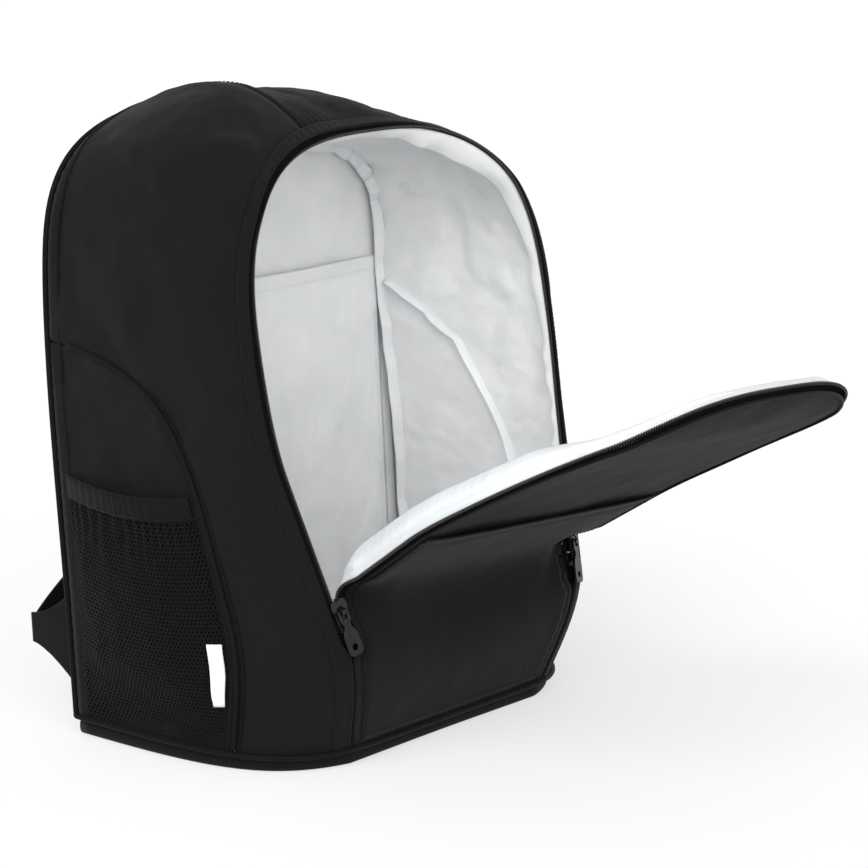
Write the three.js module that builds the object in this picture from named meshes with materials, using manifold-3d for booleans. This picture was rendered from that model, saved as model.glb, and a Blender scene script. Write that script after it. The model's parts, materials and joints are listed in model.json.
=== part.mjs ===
// A racket backpack with a wide U-shaped front zip. It stands on its base with the zip undone
// and the padded front flap folded forward. Millimetres, +Z up. The origin is the middle of the
// base, the flap opens towards -Y and the wearer's back is at +Y.

import * as THREE from 'three';
import { mergeVertices } from 'three/addons/utils/BufferGeometryUtils.js';
import Module from 'manifold-3d';

const wasm = await Module();
wasm.setup();

// Driving dimensions of the body
const BACK_HALF_WIDTH = 165;
const BACK_HEIGHT = 414;
const BACK_SHOULDER_HEIGHT = 292;
const BACK_FOOT_SPREAD = 2;
const FOOT_BACK_DEPTH = 90;
const BACK_BULGE = 18;
const OPENING_HALF_WIDTH = 145.3;
const OPENING_HEIGHT = 398;
const OPENING_SHOULDER_HEIGHT = 270;
const FOOT_HALF_WIDTH = 96;
const FOOT_FRONT_DEPTH = 90;

// The straight stretch of the zip on each side, where the slider can run
const ZIP_FOOT_HEIGHT = 96;
const ZIP_HEAD_HEIGHT = 192;
const SLIDER_HEIGHT = 109;
const SLIDER_HALF_SPACING = 122.5;
const SLIDER_FRONT_DEPTH = 102.6;
const ZIP_SPREAD_SHARE = 0.1965;
const ZIP_LEAN_SHARE = 0.295;
const CHEST_HEIGHT = 250;
const CHEST_FRONT_DEPTH = 65.5;
const BROW_HEIGHT = 350;
const BROW_FRONT_DEPTH = 47.5;
const CROWN_FRONT_DEPTH = 29;

// The soft top: fuller on one side, sunk on the other
const LEFT_FULLNESS = 18.9;
const RIGHT_SLUMP = 27;
const SLUMP_START_HEIGHT = 250;
const SLUMP_FULL_HEIGHT = 400;
const FULLNESS_START = 10;
const FULLNESS_WIDTH = 90;
const SLUMP_WIDTH = 82.5;
const SIDE_FULLNESS = 4;
const TOP_RISE = 12;
const TOP_REACH_RISE = 4;

// How the wall leaves the back edge and how it reaches the zip line
const REACH_OUT_SHARE = 1.02;
const REACH_BACK_FOOT_SHARE = 0.06;
const REACH_BACK_TOP_SHARE = 0.3;
const REACH_UP_SHARE = 0.9;
const LEAVE_SHARE = 0.62;
const MIDDLE_POWER = 0.7;
const REAR_POWER = 0.8;
const SLUMP_REAR_SHARE = 0.72;

// Fabric, foam and trim
const WALL = 2.8;
const GAP = 0.3;
const SOFT_GAP = 0.7;
const LINING_GAP = 1.3;
const LINING_REAR_SHARE = 0.09;
const BINDING_REAR_SHARE = 0.14;
const LINING = 0.8;
const BACK_FOAM = 8;
const BASE_HEIGHT = 10;
const BASE_ROUNDING = 2.5;
const PIPING_RADIUS = 1.8;
const PIPING_SINK_SHARE = 0.6;
const BINDING_RADIUS = 1.9;
const CENTRE_PANEL_HALF_WIDTH = 60;

// The zip: the coil halves, their tapes and the strips beside them
const COIL_WIDTH = 2.2;
const COIL_THICKNESS = 2.6;
const COIL_SPACE = 3;
const COIL_EDGE_SHARE = 0.55;
const TAPE = 0.7;
const TAPE_WIDTH = 7.5;
const STRIP_EDGE = 5.4;
const STRIP_WIDTH = 7.6;
const STRIP = 1.5;
const LID_EDGE = 8.5;
const ZIP_END_HEIGHT = 92;
const STOP_LENGTH = 3.5;

// The flap and its fold
const FOLD_HEIGHT = 104;
const FOLD_LENGTH = 31;
const FOLD_INSET = 2.4;
const FLAP_OPEN_ANGLE = THREE.MathUtils.degToRad(72.4);
const HINGE_HEIGHT = 115.6;
const HINGE_FRONT_DEPTH = 99.6;
const HINGE_SKEW_SHARE = 0.05;
const HINGE_DROP_SHARE = 0.025;
const FLAP_SHELL = 1.6;
const FLAP_FOAM_EDGE = 2.2;
const FLAP_FOAM_FOOT = 16;
const FLAP_FOAM_HEAD = 10;
const FLAP_FOAM_INSET = 5;
const FLAP_FOAM_POWER = 6;
const FLAP_FOAM_FOOT_SHARE = 0.12;
const FLAP_FOAM_HEAD_SHARE = 0.3;
const FLAP_PIPING_RADIUS = 1.6;
const POCKET_INSET = 7;
const POCKET_HEM_LENGTH = 66;
const POCKET_CLOTH = 1.3;
const POCKET_FOOT = 5;

const SPREAD_KNOTS = [
  { at: 0, value: FOOT_HALF_WIDTH, slope: 0.3 },
  { at: ZIP_FOOT_HEIGHT, value: zipHalfWidth(ZIP_FOOT_HEIGHT), slope: ZIP_SPREAD_SHARE },
  { at: ZIP_HEAD_HEIGHT, value: zipHalfWidth(ZIP_HEAD_HEIGHT), slope: ZIP_SPREAD_SHARE },
  { at: OPENING_SHOULDER_HEIGHT, value: OPENING_HALF_WIDTH, slope: 0 },
];
const FRONT_KNOTS = [
  { at: 0, value: -FOOT_FRONT_DEPTH, slope: -0.25 },
  { at: ZIP_FOOT_HEIGHT, value: zipFront(ZIP_FOOT_HEIGHT), slope: ZIP_LEAN_SHARE },
  { at: ZIP_HEAD_HEIGHT, value: zipFront(ZIP_HEAD_HEIGHT), slope: ZIP_LEAN_SHARE },
  { at: CHEST_HEIGHT, value: -CHEST_FRONT_DEPTH, slope: 0.19 },
  { at: BROW_HEIGHT, value: -BROW_FRONT_DEPTH, slope: 0.18 },
  { at: OPENING_HEIGHT, value: -CROWN_FRONT_DEPTH, slope: 0.5 },
];
const SHOULDER_SHARE = 0.6;
const OPENING_ROUNDNESS = 2.8;
const BACK_ROUNDNESS = 3.6;
const SIDE_TURN = THREE.MathUtils.degToRad(15);
const TOP_TURN = THREE.MathUtils.degToRad(36);
const BACK_HEIGHT_SHARES = [0, 0.205, 0.604, 0.749, 0.918, 1];
const BACK_BULGE_SHARES = [0, 0.28, 0.94, 1, 0.78, 0.44];
const backBulge = new THREE.CubicInterpolant(BACK_HEIGHT_SHARES, BACK_BULGE_SHARES, 1);

// The curved seam low on each side, in front of which the wall runs on to the zip
const CONTOUR_HEIGHT = 245;
const CONTOUR_SHARE = 0.46;
const CONTOUR_FLARE_SHARE = 0.075;
const CONTOUR_GAP_SHARE = 0.006;
const CONTOUR_FLARE_POWER = 1.5;
const CONTOUR_HEAD_POWER = 9;
const CONTOUR_HEAD_SHARES = [0.86, 0.92, 0.955, 0.98, 0.994];
const BASE_PIPING_END_SHARE = 0.92;
const CORNER_SHARE = 0.75;
const FRONT_PIPING_SHARES = [0.85, 0.6, 0.3];
const REAR_PIPING_SHARES = [0, 0.45, 0.9];
const TOE_SHARE = 0.85;

// Side pockets of mesh with an elastic top
const MESH = 1;
const MESH_FOOT_HEIGHT = 15;
const MESH_REAR_HEIGHT = 166;
const MESH_FRONT_HEIGHT = 170;
const MESH_SAG = 10;
const MESH_EDGE_STAND = 0.5;
const MESH_BULGE = 16;
const MESH_EDGE_SHARE = 0.03;
const MESH_FOOT_SHARE = 0.4;
const MESH_TOP_FULLNESS_SHARE = 0.75;
const MESH_TOP_SHARE = 0.6;
const MESH_POWER = 0.7;
const ELASTIC_HEIGHT = 13;
const ELASTIC = 1.8;
const LABEL_FOOT_HEIGHT = 43;
const LABEL_HEIGHT = 46;
const LABEL_WIDTH = 12;
const LABEL_EDGE = 3;
const LABEL = 0.8;

// The wall pocket inside
const SLIP_POCKET_HEIGHT = 275;
const SLIP_POCKET_FOOT = 16;
const SLIP_POCKET_STAND = 8;
const SLIP_CLOTH = 0.9;
const SLIP_FOOT_SHARE = 1.2;

// The zip slider and its puller
const SLIDER_LENGTH = 16;
const SLIDER_TAIL_HALF_WIDTH = 5.2;
const SLIDER_HALF_WIDTH = 6.1;
const SLIDER_PLATE = 1.5;
const SLIDER_NOTCH = 1.8;
const SLIDER_CORNER = 1.6;
const COIL_CLEARANCE = 0.35;
const TAPE_CLEARANCE = 0.6;
const POST_HALF_WIDTH = 1.1;
const POST_LENGTH = 4.2;
const POST_FOOT_SHARE = 0.6;
const CROWN_RADIUS = 3.3;
const CROWN_HOLE_RADIUS = 2.2;
const CROWN_WIDTH = 2.6;
const PULLER_LENGTH = 30;
const PULLER_EYE_HALF_WIDTH = 4;
const PULLER_EYE_LENGTH = 7;
const PULLER_WINDOW_HALF_WIDTH = 2.2;
const PULLER_WINDOW_LENGTH = 5;
const PULLER_NECK_HALF_WIDTH = 2.4;
const PULLER_NECK_LENGTH = 9;
const PULLER_HALF_WIDTH = 5.5;
const PULLER_THICKNESS = 1.6;
const PULLER_HOLE_RADIUS = 2.2;
const PULLER_HOLE_INSET = 5.6;
const PULLER_CORNER_SHARE = 0.7;
const PULLER_SHOULDER_SHARE = 1.4;
const PULLER_BELLY_SHARE = 0.6;

// What the wearer's side carries
const YOKE_HALF_WIDTH = 92;
const YOKE_FOOT_HEIGHT = 348;
const YOKE_HEIGHT = 42;
const YOKE = 2.2;
const STRAP_HALF_WIDTH = 29;
const STRAP_END_HALF_WIDTH = 14;
const STRAP_THICKNESS = 11;
const STRAP_EDGE_THICKNESS = 5;
const STRAP_STAND = 19;
const STRAP_SEAT = 0.4;
const STRAP_NARROW_SHARE = 0.72;
const STRAP_STAND_POWER = 0.75;
const STRAP_ROUND_POWER = 1.2;
const STRAP_END_SHARE = 0.12;
const STRAP_END_THICKNESS_SHARE = 0.5;
const STRAP_FOOT_HEIGHT = 152;
const STRAP_SPREAD_SHARES = [0.36, 0.4, 0.5, 0.61, 0.67, 0.68];
const STRAP_DROP_SHARES = [0, 0.18, 0.42, 0.66, 0.85, 1];
const WEBBING_HALF_WIDTH = 10;
const WEBBING = 1.6;
const WEBBING_OUT_SHARE = 0.7;
const WEBBING_UP_SHARE = 0.3;
const BUCKLE_HALF_WIDTH = 16;
const BUCKLE_HEIGHT = 20;
const BUCKLE_THICKNESS = 3.6;
const BUCKLE_RIM = 5;
const BUCKLE_BAR = 3;
const BUCKLE_SLOT_CORNER = 1.2;
const WING_FOOT_HEIGHT = 24;
const WING_HEIGHT = 76;
const WING_TIP_FOOT_HEIGHT = 54;
const WING_REACH = 46;
const WING_INSET = 7;
const WING_THICKNESS = 2.6;
const WING_POWER = 1.6;
const HANDLE_HALF_SPAN = 46;
const HANDLE_END = 7;
const HANDLE_DROP = 28;
const HANDLE_POWER = 0.8;
const HANDLE_RADIUS = 4.2;
const HANDLE_HEIGHT = 393;
const HANDLE_TILT = THREE.MathUtils.degToRad(15);
const HANDLE_CLEARANCE = 0.4;
const TAB_WALL = 2;
const TAB_WIDTH = 9;

// Rows that every piece of the lower half shares, so that layers keep their gaps
const LOW_HEIGHTS = [
  ZIP_FOOT_HEIGHT / 3,
  ZIP_FOOT_HEIGHT * 2 / 3,
  ZIP_FOOT_HEIGHT,
  (ZIP_FOOT_HEIGHT + ZIP_HEAD_HEIGHT) / 2,
  ZIP_HEAD_HEIGHT,
];
const TUBE_SIDES = 6;
const STEP = 1e-4;
const WALK_STEP = 0.004;
const OVERRUN = 1;
const ARCH_LEVELS = 9;
const SKIN_COLUMNS = 8;

const materials = {
  fabric: { color: 0x1d1d1f, roughness: 0.82, metalness: 0 },
  weave: { color: 0x242427, roughness: 0.88, metalness: 0 },
  trim: { color: 0x151516, roughness: 0.7, metalness: 0 },
  mesh: { color: 0x0f0f10, roughness: 0.9, metalness: 0 },
  lining: { color: 0xeef0f2, roughness: 0.45, metalness: 0 },
  foam: { color: 0xe2e4e6, roughness: 0.95, metalness: 0 },
  zip: { color: 0x101011, roughness: 0.5, metalness: 0 },
  metal: { color: 0x1a1a1c, roughness: 0.35, metalness: 0.5 },
  plastic: { color: 0x121213, roughness: 0.4, metalness: 0 },
  label: { color: 0xf4f4f2, roughness: 0.6, metalness: 0 },
};

function zipHalfWidth(height) {
  return SLIDER_HALF_SPACING + ZIP_SPREAD_SHARE * (height - SLIDER_HEIGHT);
}

function zipFront(height) {
  return -SLIDER_FRONT_DEPTH + ZIP_LEAN_SHARE * (height - SLIDER_HEIGHT);
}

function mix(a, b, share) {
  return a + (b - a) * share;
}

function clampShare(share) {
  return Math.min(Math.max(share, 0), 1);
}

function ease(share) {
  const x = clampShare(share);
  return x * x * (3 - 2 * x);
}

// A smooth line through knots that each state their value and slope
function alongKnots(knots, at) {
  let index = 0;
  while (index < knots.length - 2 && at > knots[index + 1].at) {
    index += 1;
  }
  const a = knots[index];
  const b = knots[index + 1];
  const span = b.at - a.at;
  const x = (at - a.at) / span;
  const rise = x * x * (3 - 2 * x);
  const leave = x * (1 - x) * (1 - x);
  const arrive = x * x * (x - 1);
  return mix(a.value, b.value, rise) + span * (leave * a.slope + arrive * b.slope);
}

function frontDepth(height) {
  return alongKnots(FRONT_KNOTS, height);
}

function backDepth(height) {
  const bulgeShare = backBulge.evaluate(clampShare(height / BACK_HEIGHT))[0];
  return FOOT_BACK_DEPTH + BACK_BULGE * bulgeShare;
}

// Both outlines run from the base (0) over the shoulder to the middle of the top (1)
function archAngle(t) {
  return clampShare((t - SHOULDER_SHARE) / (1 - SHOULDER_SHARE)) * Math.PI / 2;
}

function frontOutline(t) {
  if (t < SHOULDER_SHARE) {
    const height = OPENING_SHOULDER_HEIGHT * t / SHOULDER_SHARE;
    return new THREE.Vector3(alongKnots(SPREAD_KNOTS, height), frontDepth(height), height);
  }
  const angle = archAngle(t);
  const power = 2 / OPENING_ROUNDNESS;
  const rise = OPENING_HEIGHT - OPENING_SHOULDER_HEIGHT;
  const height = OPENING_SHOULDER_HEIGHT + rise * Math.sin(angle) ** power;
  const half = OPENING_HALF_WIDTH * Math.max(Math.cos(angle), 0) ** power;
  return new THREE.Vector3(half, frontDepth(height), height);
}

function backOutline(t, inset = 0) {
  if (t < SHOULDER_SHARE) {
    const share = t / SHOULDER_SHARE;
    const half = BACK_HALF_WIDTH - inset - BACK_FOOT_SPREAD * (1 - share) ** 2;
    const height = BACK_SHOULDER_HEIGHT * share;
    return new THREE.Vector3(half, backDepth(height), height);
  }
  const angle = archAngle(t);
  const power = 2 / BACK_ROUNDNESS;
  const rise = BACK_HEIGHT - inset - BACK_SHOULDER_HEIGHT;
  const height = BACK_SHOULDER_HEIGHT + rise * Math.sin(angle) ** power;
  const half = (BACK_HALF_WIDTH - inset) * Math.max(Math.cos(angle), 0) ** power;
  return new THREE.Vector3(half, backDepth(height), height);
}

// Way round the bag: u is -1 at the left foot, 0 at the top and 1 at the right foot
function rim(u) {
  const point = frontOutline(1 - Math.abs(u));
  point.x *= Math.sign(u) || 1;
  return point;
}

function zipFrame(u) {
  const along = rim(u + STEP).sub(rim(u - STEP)).normalize();
  const height = rim(u).z;
  const lean = (frontDepth(height + STEP) - frontDepth(height - STEP)) / (2 * STEP);
  const forward = new THREE.Vector3(0, -1, lean).normalize();
  const across = along.clone().cross(forward).normalize();
  const archShare = archAngle(1 - Math.abs(u)) / (Math.PI / 2);
  const turn = mix(SIDE_TURN, TOP_TURN, archShare);
  const into = across.multiplyScalar(Math.cos(turn)).addScaledVector(forward, Math.sin(turn));
  const inner = along.clone().cross(into).normalize();
  return { origin: rim(u), along, into, inner };
}

function zipPoint(u, across, depth) {
  const frame = zipFrame(u);
  return frame.origin.addScaledVector(frame.into, across).addScaledVector(frame.inner, depth);
}

// The soft top rises between front and back on one side and sinks towards the other
function settle(point, s) {
  const span = SLUMP_FULL_HEIGHT - SLUMP_START_HEIGHT;
  const heightShare = ease((point.z - SLUMP_START_HEIGHT) / span);
  const middleShare = Math.sin(Math.PI * clampShare(s)) ** MIDDLE_POWER;
  const backShare = (1 - clampShare(s)) ** REAR_POWER;
  const rise = LEFT_FULLNESS * ease((-point.x - FULLNESS_START) / FULLNESS_WIDTH) * middleShare;
  const fallShare = ease(point.x / SLUMP_WIDTH) * mix(middleShare, backShare, SLUMP_REAR_SHARE);
  point.z += heightShare * (rise - RIGHT_SLUMP * fallShare);
  return point;
}

// The bag's wall from the back edge (s = 0) to the zip (s = 1)
function skin(u, s) {
  const side = Math.sign(u) || 1;
  const t = 1 - Math.abs(u);
  const archShare = archAngle(t) / (Math.PI / 2);
  const back = backOutline(t);
  const front = rim(u);
  const depth = back.y - front.y;
  const outward = (back.x - Math.abs(front.x)) * REACH_OUT_SHARE;
  const backward = depth * mix(REACH_BACK_FOOT_SHARE, REACH_BACK_TOP_SHARE, archShare);
  const upward = (back.z - front.z) * REACH_UP_SHARE + TOP_REACH_RISE * archShare;
  const reach = Math.hypot(outward, backward, upward);
  back.x *= side;
  const fullness = SIDE_FULLNESS * (1 - archShare);
  const pull = new THREE.Vector3(side * fullness, -depth * LEAVE_SHARE, TOP_RISE * archShare);
  const { into, along } = zipFrame(u);
  const arrive = into.addScaledVector(along, -along.z * Math.max(into.z, 0)).normalize();
  const curve = new THREE.CubicBezierCurve3(
    back,
    back.clone().add(pull),
    front.clone().addScaledVector(arrive, -reach),
    front,
  );
  return settle(curve.getPoint(s), s);
}

function skinPoint(u, s, depth) {
  const along = skin(u + STEP, s).sub(skin(u - STEP, s));
  const across = skin(u, s + STEP).sub(skin(u, s - STEP));
  return skin(u, s).addScaledVector(along.cross(across).normalize(), depth);
}

// The share s that lies a given distance behind the zip line
function shareBehindZip(u, distance) {
  let s = 1;
  let run = 0;
  let last = skin(u, s);
  while (run < distance) {
    const next = skin(u, s - WALK_STEP);
    const piece = next.distanceTo(last);
    if (run + piece >= distance) {
      return s - WALK_STEP * (distance - run) / piece;
    }
    run += piece;
    s -= WALK_STEP;
    last = next;
  }
  return s;
}

function shareAtHeight(height) {
  return SHOULDER_SHARE * height / OPENING_SHOULDER_HEIGHT;
}

function contourShare(t) {
  const heightShare = OPENING_SHOULDER_HEIGHT * t / SHOULDER_SHARE / CONTOUR_HEIGHT;
  if (heightShare >= 1) {
    return 0;
  }
  const foot = CONTOUR_FLARE_SHARE * (1 - heightShare) ** CONTOUR_FLARE_POWER;
  return (CONTOUR_SHARE + foot) * Math.sqrt(1 - heightShare ** CONTOUR_HEAD_POWER);
}

function levelsFrom(start, end = 1) {
  const chest = mix(ZIP_HEAD_HEIGHT, OPENING_SHOULDER_HEIGHT, 0.5);
  const heights = [...LOW_HEIGHTS, chest, OPENING_SHOULDER_HEIGHT];
  const levels = [start, ...heights.map(shareAtHeight)];
  for (let i = 1; i <= ARCH_LEVELS; i += 1) {
    levels.push(SHOULDER_SHARE + (1 - SHOULDER_SHARE) * i / ARCH_LEVELS);
  }
  const inside = levels.filter((t) => t >= start && t < end - STEP);
  inside.push(end);
  return inside.filter((t, i) => i === 0 || t - inside[i - 1] > STEP);
}

// Rows right round the bag, from a level on the left to the same level on the right
function rowsAround(start) {
  const levels = levelsFrom(start);
  const left = levels.map((t) => t - 1);
  const right = levels.slice(0, -1).reverse().map((t) => 1 - t);
  return [...left, ...right];
}

function closed(positions, index) {
  const raw = new THREE.BufferGeometry();
  raw.setAttribute('position', new THREE.Float32BufferAttribute(positions, 3));
  raw.setIndex(index);
  const merged = mergeVertices(raw, 1e-3);
  const kept = [];
  const old = merged.index.array;
  for (let i = 0; i < old.length; i += 3) {
    const [a, b, c] = [old[i], old[i + 1], old[i + 2]];
    if (a !== b && b !== c && c !== a) {
      kept.push(a, b, c);
    }
  }
  const place = merged.attributes.position;
  const corners = [0, 1, 2].map(() => new THREE.Vector3());
  let volume = 0;
  for (let i = 0; i < kept.length; i += 3) {
    corners.forEach((corner, k) => corner.fromBufferAttribute(place, kept[i + k]));
    volume += corners[0].dot(corners[1].cross(corners[2]));
  }
  if (volume < 0) {
    kept.reverse();
  }
  merged.setIndex(kept);
  merged.computeVertexNormals();
  return merged;
}

// A sheet with thickness: pointAt(row, share, face) gives its two faces, 0 and 1
function slab(rows, columns, pointAt) {
  const positions = [];
  for (const face of [0, 1]) {
    for (const row of rows) {
      for (let j = 0; j <= columns; j += 1) {
        positions.push(...pointAt(row, j / columns, face));
      }
    }
  }
  const wide = columns + 1;
  const layer = rows.length * wide;
  const index = [];
  const quad = (a, b, c, d) => index.push(a, b, c, a, c, d);
  for (let i = 0; i < rows.length - 1; i += 1) {
    for (let j = 0; j < columns; j += 1) {
      const a = i * wide + j;
      quad(a, a + wide, a + wide + 1, a + 1);
      quad(layer + a, layer + a + 1, layer + a + wide + 1, layer + a + wide);
    }
    const first = i * wide;
    const last = first + columns;
    quad(first, layer + first, layer + first + wide, first + wide);
    quad(last, last + wide, layer + last + wide, layer + last);
  }
  for (let j = 0; j < columns; j += 1) {
    const top = (rows.length - 1) * wide + j;
    quad(j, j + 1, layer + j + 1, layer + j);
    quad(top, layer + top, layer + top + 1, top + 1);
  }
  return closed(positions, index);
}

// A cord through the points: its rings stand on them, so that no corner is cut
function tube(points, radius, ringsPerSpan = 1) {
  const curve = new THREE.CatmullRomCurve3(points, false, 'centripetal');
  curve.getUtoTmapping = (u) => u;
  const steps = ringsPerSpan * (points.length - 1);
  const section = new THREE.Shape().absarc(0, 0, radius, 0, 2 * Math.PI);
  const options = { steps, curveSegments: TUBE_SIDES / 2, extrudePath: curve, bevelEnabled: false };
  return welded(new THREE.ExtrudeGeometry(section, options));
}

function welded(geometry) {
  const bare = geometry.index ? geometry.toNonIndexed() : geometry;
  const positions = Array.from(bare.attributes.position.array);
  return closed(positions, positions.slice(0, positions.length / 3).map((value, i) => i));
}

function toSolid(geometry) {
  const vertProperties = new Float32Array(geometry.attributes.position.array);
  const triVerts = new Uint32Array(geometry.index.array);
  return new wasm.Manifold(new wasm.Mesh({ numProp: 3, vertProperties, triVerts }));
}

function fromSolid(solid) {
  const mesh = solid.getMesh();
  return closed(Array.from(mesh.vertProperties), Array.from(mesh.triVerts));
}

function extruded(shape, from, to, segments = 6) {
  const options = { depth: to - from, bevelEnabled: false, curveSegments: segments };
  return welded(new THREE.ExtrudeGeometry(shape, options).translate(0, 0, from));
}

const bag = new THREE.Group();

function add(name, geometry, look, parent = bag) {
  const mesh = new THREE.Mesh(geometry, new THREE.MeshStandardMaterial(materials[look]));
  mesh.name = name;
  parent.add(mesh);
  return mesh;
}

function mirrored(geometry) {
  const copy = geometry.clone();
  copy.scale(-1, 1, 1);
  return closed(Array.from(copy.attributes.position.array), Array.from(copy.index.array));
}

const WALL_FOOT = BASE_HEIGHT + GAP;
const FOOT_SHARE = shareAtHeight(WALL_FOOT);
const CENTRE_ANGLE = Math.acos((CENTRE_PANEL_HALF_WIDTH / OPENING_HALF_WIDTH) ** (OPENING_ROUNDNESS / 2));
const CENTRE_SHARE = SHOULDER_SHARE + (1 - SHOULDER_SHARE) * CENTRE_ANGLE / (Math.PI / 2);
const CENTRE_GAP_SHARE = GAP * (1 - CENTRE_SHARE) / CENTRE_PANEL_HALF_WIDTH;
const WALL_FRONT = STRIP_EDGE + STRIP_WIDTH + GAP;
const CONTOUR_ROWS = [
  ...LOW_HEIGHTS,
  ...CONTOUR_HEAD_SHARES.map((share) => share * CONTOUR_HEIGHT),
].map(shareAtHeight);

// Side and top walls, cut along the curved side seams and beside the centre panel
function wallPiece(rows, lowShare) {
  return slab(rows, SKIN_COLUMNS, (u, share, face) => {
    const low = lowShare(1 - Math.abs(u));
    const s = mix(low, shareBehindZip(u, WALL_FRONT), share);
    return skinPoint(u, s, face ? WALL / 2 : -WALL / 2);
  });
}

function sideRows(side) {
  const upper = levelsFrom(shareAtHeight(CONTOUR_HEIGHT), CENTRE_SHARE - CENTRE_GAP_SHARE);
  return [FOOT_SHARE, ...CONTOUR_ROWS, ...upper].map((t) => side * (1 - t));
}

function addWalls() {
  const aboveContour = (t) => {
    const share = contourShare(t);
    return share > 0 ? share + CONTOUR_GAP_SHARE : 0;
  };
  for (const side of [-1, 1]) {
    const name = side < 0 ? 'left' : 'right';
    add(`${name}_gusset_panel`, wallPiece(sideRows(side), aboveContour), 'fabric');
    const low = slab([FOOT_SHARE, ...CONTOUR_ROWS], 6, (t, share, face) => {
      const s = share * contourShare(t);
      return skinPoint(side * (1 - t), s, face ? WALL / 2 : -WALL / 2);
    });
    add(`${name}_contour_panel`, low, 'fabric');
  }
  const levels = levelsFrom(CENTRE_SHARE + CENTRE_GAP_SHARE);
  const rows = [...levels.map((t) => t - 1), ...levels.slice(0, -1).reverse().map((t) => 1 - t)];
  add('top_centre_panel', wallPiece(rows, () => 0), 'weave');
}

// Strip of fabric beside the zip, and the tape and coil under its edge
function stripEdge(t) {
  const height = OPENING_SHOULDER_HEIGHT * t / SHOULDER_SHARE;
  const start = ZIP_END_HEIGHT - WALL_FRONT;
  return mix(GAP * 2, STRIP_EDGE, ease((height - start) / WALL_FRONT));
}

function addZipOnBag() {
  const foot = shareAtHeight(WALL_FOOT + 2 * PIPING_RADIUS + 2 * GAP);
  const strip = slab(rowsAround(foot), 2, (u, share, face) => {
    const distance = mix(STRIP_EDGE + STRIP_WIDTH, stripEdge(1 - Math.abs(u)), share);
    const depth = TAPE / 2 + GAP + (face ? 0 : STRIP);
    return skinPoint(u, shareBehindZip(u, distance), -depth);
  });
  add('zip_facing_strip', strip, 'fabric');
  const start = shareAtHeight(ZIP_END_HEIGHT + STOP_LENGTH + GAP);
  const tape = slab(rowsAround(start), 2, (u, share, face) => {
    const distance = COIL_WIDTH + SOFT_GAP + TAPE_WIDTH * (1 - share);
    return skinPoint(u, shareBehindZip(u, distance), face ? TAPE / 2 : -TAPE / 2);
  });
  add('zip_tape_bag', tape, 'trim');
  add('zip_coil_bag', coil(rowsAround(start), -COIL_WIDTH), 'zip');
}

// One half of the coil: a band with a rounded edge on both sides
function coil(rows, across) {
  return slab(rows, 2, (u, share, face) => {
    const swell = mix(COIL_EDGE_SHARE, 1, Math.sin(Math.PI * share));
    const depth = COIL_THICKNESS / 2 * swell;
    return zipPoint(u, across + COIL_WIDTH * share, face ? depth : -depth);
  });
}

// The lid's half of the zip below the slider, with the stop that holds both halves
function addZipEnds() {
  const foot = ZIP_END_HEIGHT;
  const top = SLIDER_HEIGHT + SLIDER_LENGTH / 2;
  const lidSide = COIL_SPACE;
  const edge = LID_EDGE - GAP;
  const heights = [foot, mix(foot, top, 0.5), top];
  for (const side of [-1, 1]) {
    const rows = heights.map((height) => side * (1 - shareAtHeight(height)));
    const across = [0, COIL_WIDTH / 2, COIL_WIDTH, COIL_WIDTH + GAP, edge - lidSide];
    const coilEdge = COIL_EDGE_SHARE * COIL_THICKNESS;
    const thickness = [coilEdge, COIL_THICKNESS, coilEdge, TAPE, TAPE];
    const band = slab(rows, 4, (u, share, face) => {
      const k = Math.round(share * 4);
      return zipPoint(u, lidSide + across[k], (face ? 1 : -1) * thickness[k] / 2);
    });
    const stopRows = [foot, foot + STOP_LENGTH].map((height) => side * (1 - shareAtHeight(height)));
    const stop = slab(stopRows, 1, (u, share, face) => {
      const width = mix(-COIL_WIDTH, COIL_SPACE + COIL_WIDTH, share);
      return zipPoint(u, width, (face ? 1 : -1) * (COIL_THICKNESS / 2 + GAP));
    });
    const joined = fromSolid(toSolid(band).add(toSolid(stop)));
    add(side < 0 ? 'left_zip_end' : 'right_zip_end', joined, 'zip');
  }
}

function heightsBetween(from, to, count) {
  return Array.from({ length: count + 1 }, (value, i) => mix(from, to, i / count));
}

function frontPoint(x, height, depth) {
  const lean = (frontDepth(height + STEP) - frontDepth(height - STEP)) / (2 * STEP);
  const inner = new THREE.Vector3(0, 1, -lean).normalize();
  return new THREE.Vector3(x, frontDepth(height), height).addScaledVector(inner, depth);
}

function frontEdge(height) {
  const start = ZIP_END_HEIGHT - 2 * LID_EDGE;
  return mix(2 * GAP, LID_EDGE, ease((height - start) / (LID_EDGE + STOP_LENGTH)));
}

// Lower front of the bag and the flat pocket on it
function addFront() {
  const panel = slab(heightsBetween(WALL_FOOT, FOLD_HEIGHT, 10), 8, (height, share, face) => {
    const half = alongKnots(SPREAD_KNOTS, height) - frontEdge(height);
    return frontPoint(mix(-half, half, share), height, face ? WALL / 2 : -WALL / 2);
  });
  add('front_panel', panel, 'fabric');
  const foot = WALL_FOOT + POCKET_FOOT;
  const pocket = slab(heightsBetween(foot, FOLD_HEIGHT, 8), 8, (height, share, face) => {
    const half = alongKnots(SPREAD_KNOTS, height) - frontEdge(height) - POCKET_INSET;
    const depth = WALL / 2 + GAP + (face ? 0 : POCKET_CLOTH);
    return frontPoint(mix(-half, half, share), height, -depth);
  });
  add('front_pocket', pocket, 'fabric');
}

// The flap turns about one line in the fold: its right end is further back and lower than its left
const FOLD_SLOPE = Math.hypot(1, ZIP_LEAN_SHARE);
const HINGE_AXIS = new THREE.Vector3(1, HINGE_SKEW_SHARE, -HINGE_DROP_SHARE).normalize();
const hinge = new THREE.Vector3(0, -HINGE_FRONT_DEPTH, HINGE_HEIGHT);
const flap = new THREE.Group();
flap.position.copy(hinge);
flap.quaternion.setFromAxisAngle(HINGE_AXIS, FLAP_OPEN_ANGLE);
bag.add(flap);

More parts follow.
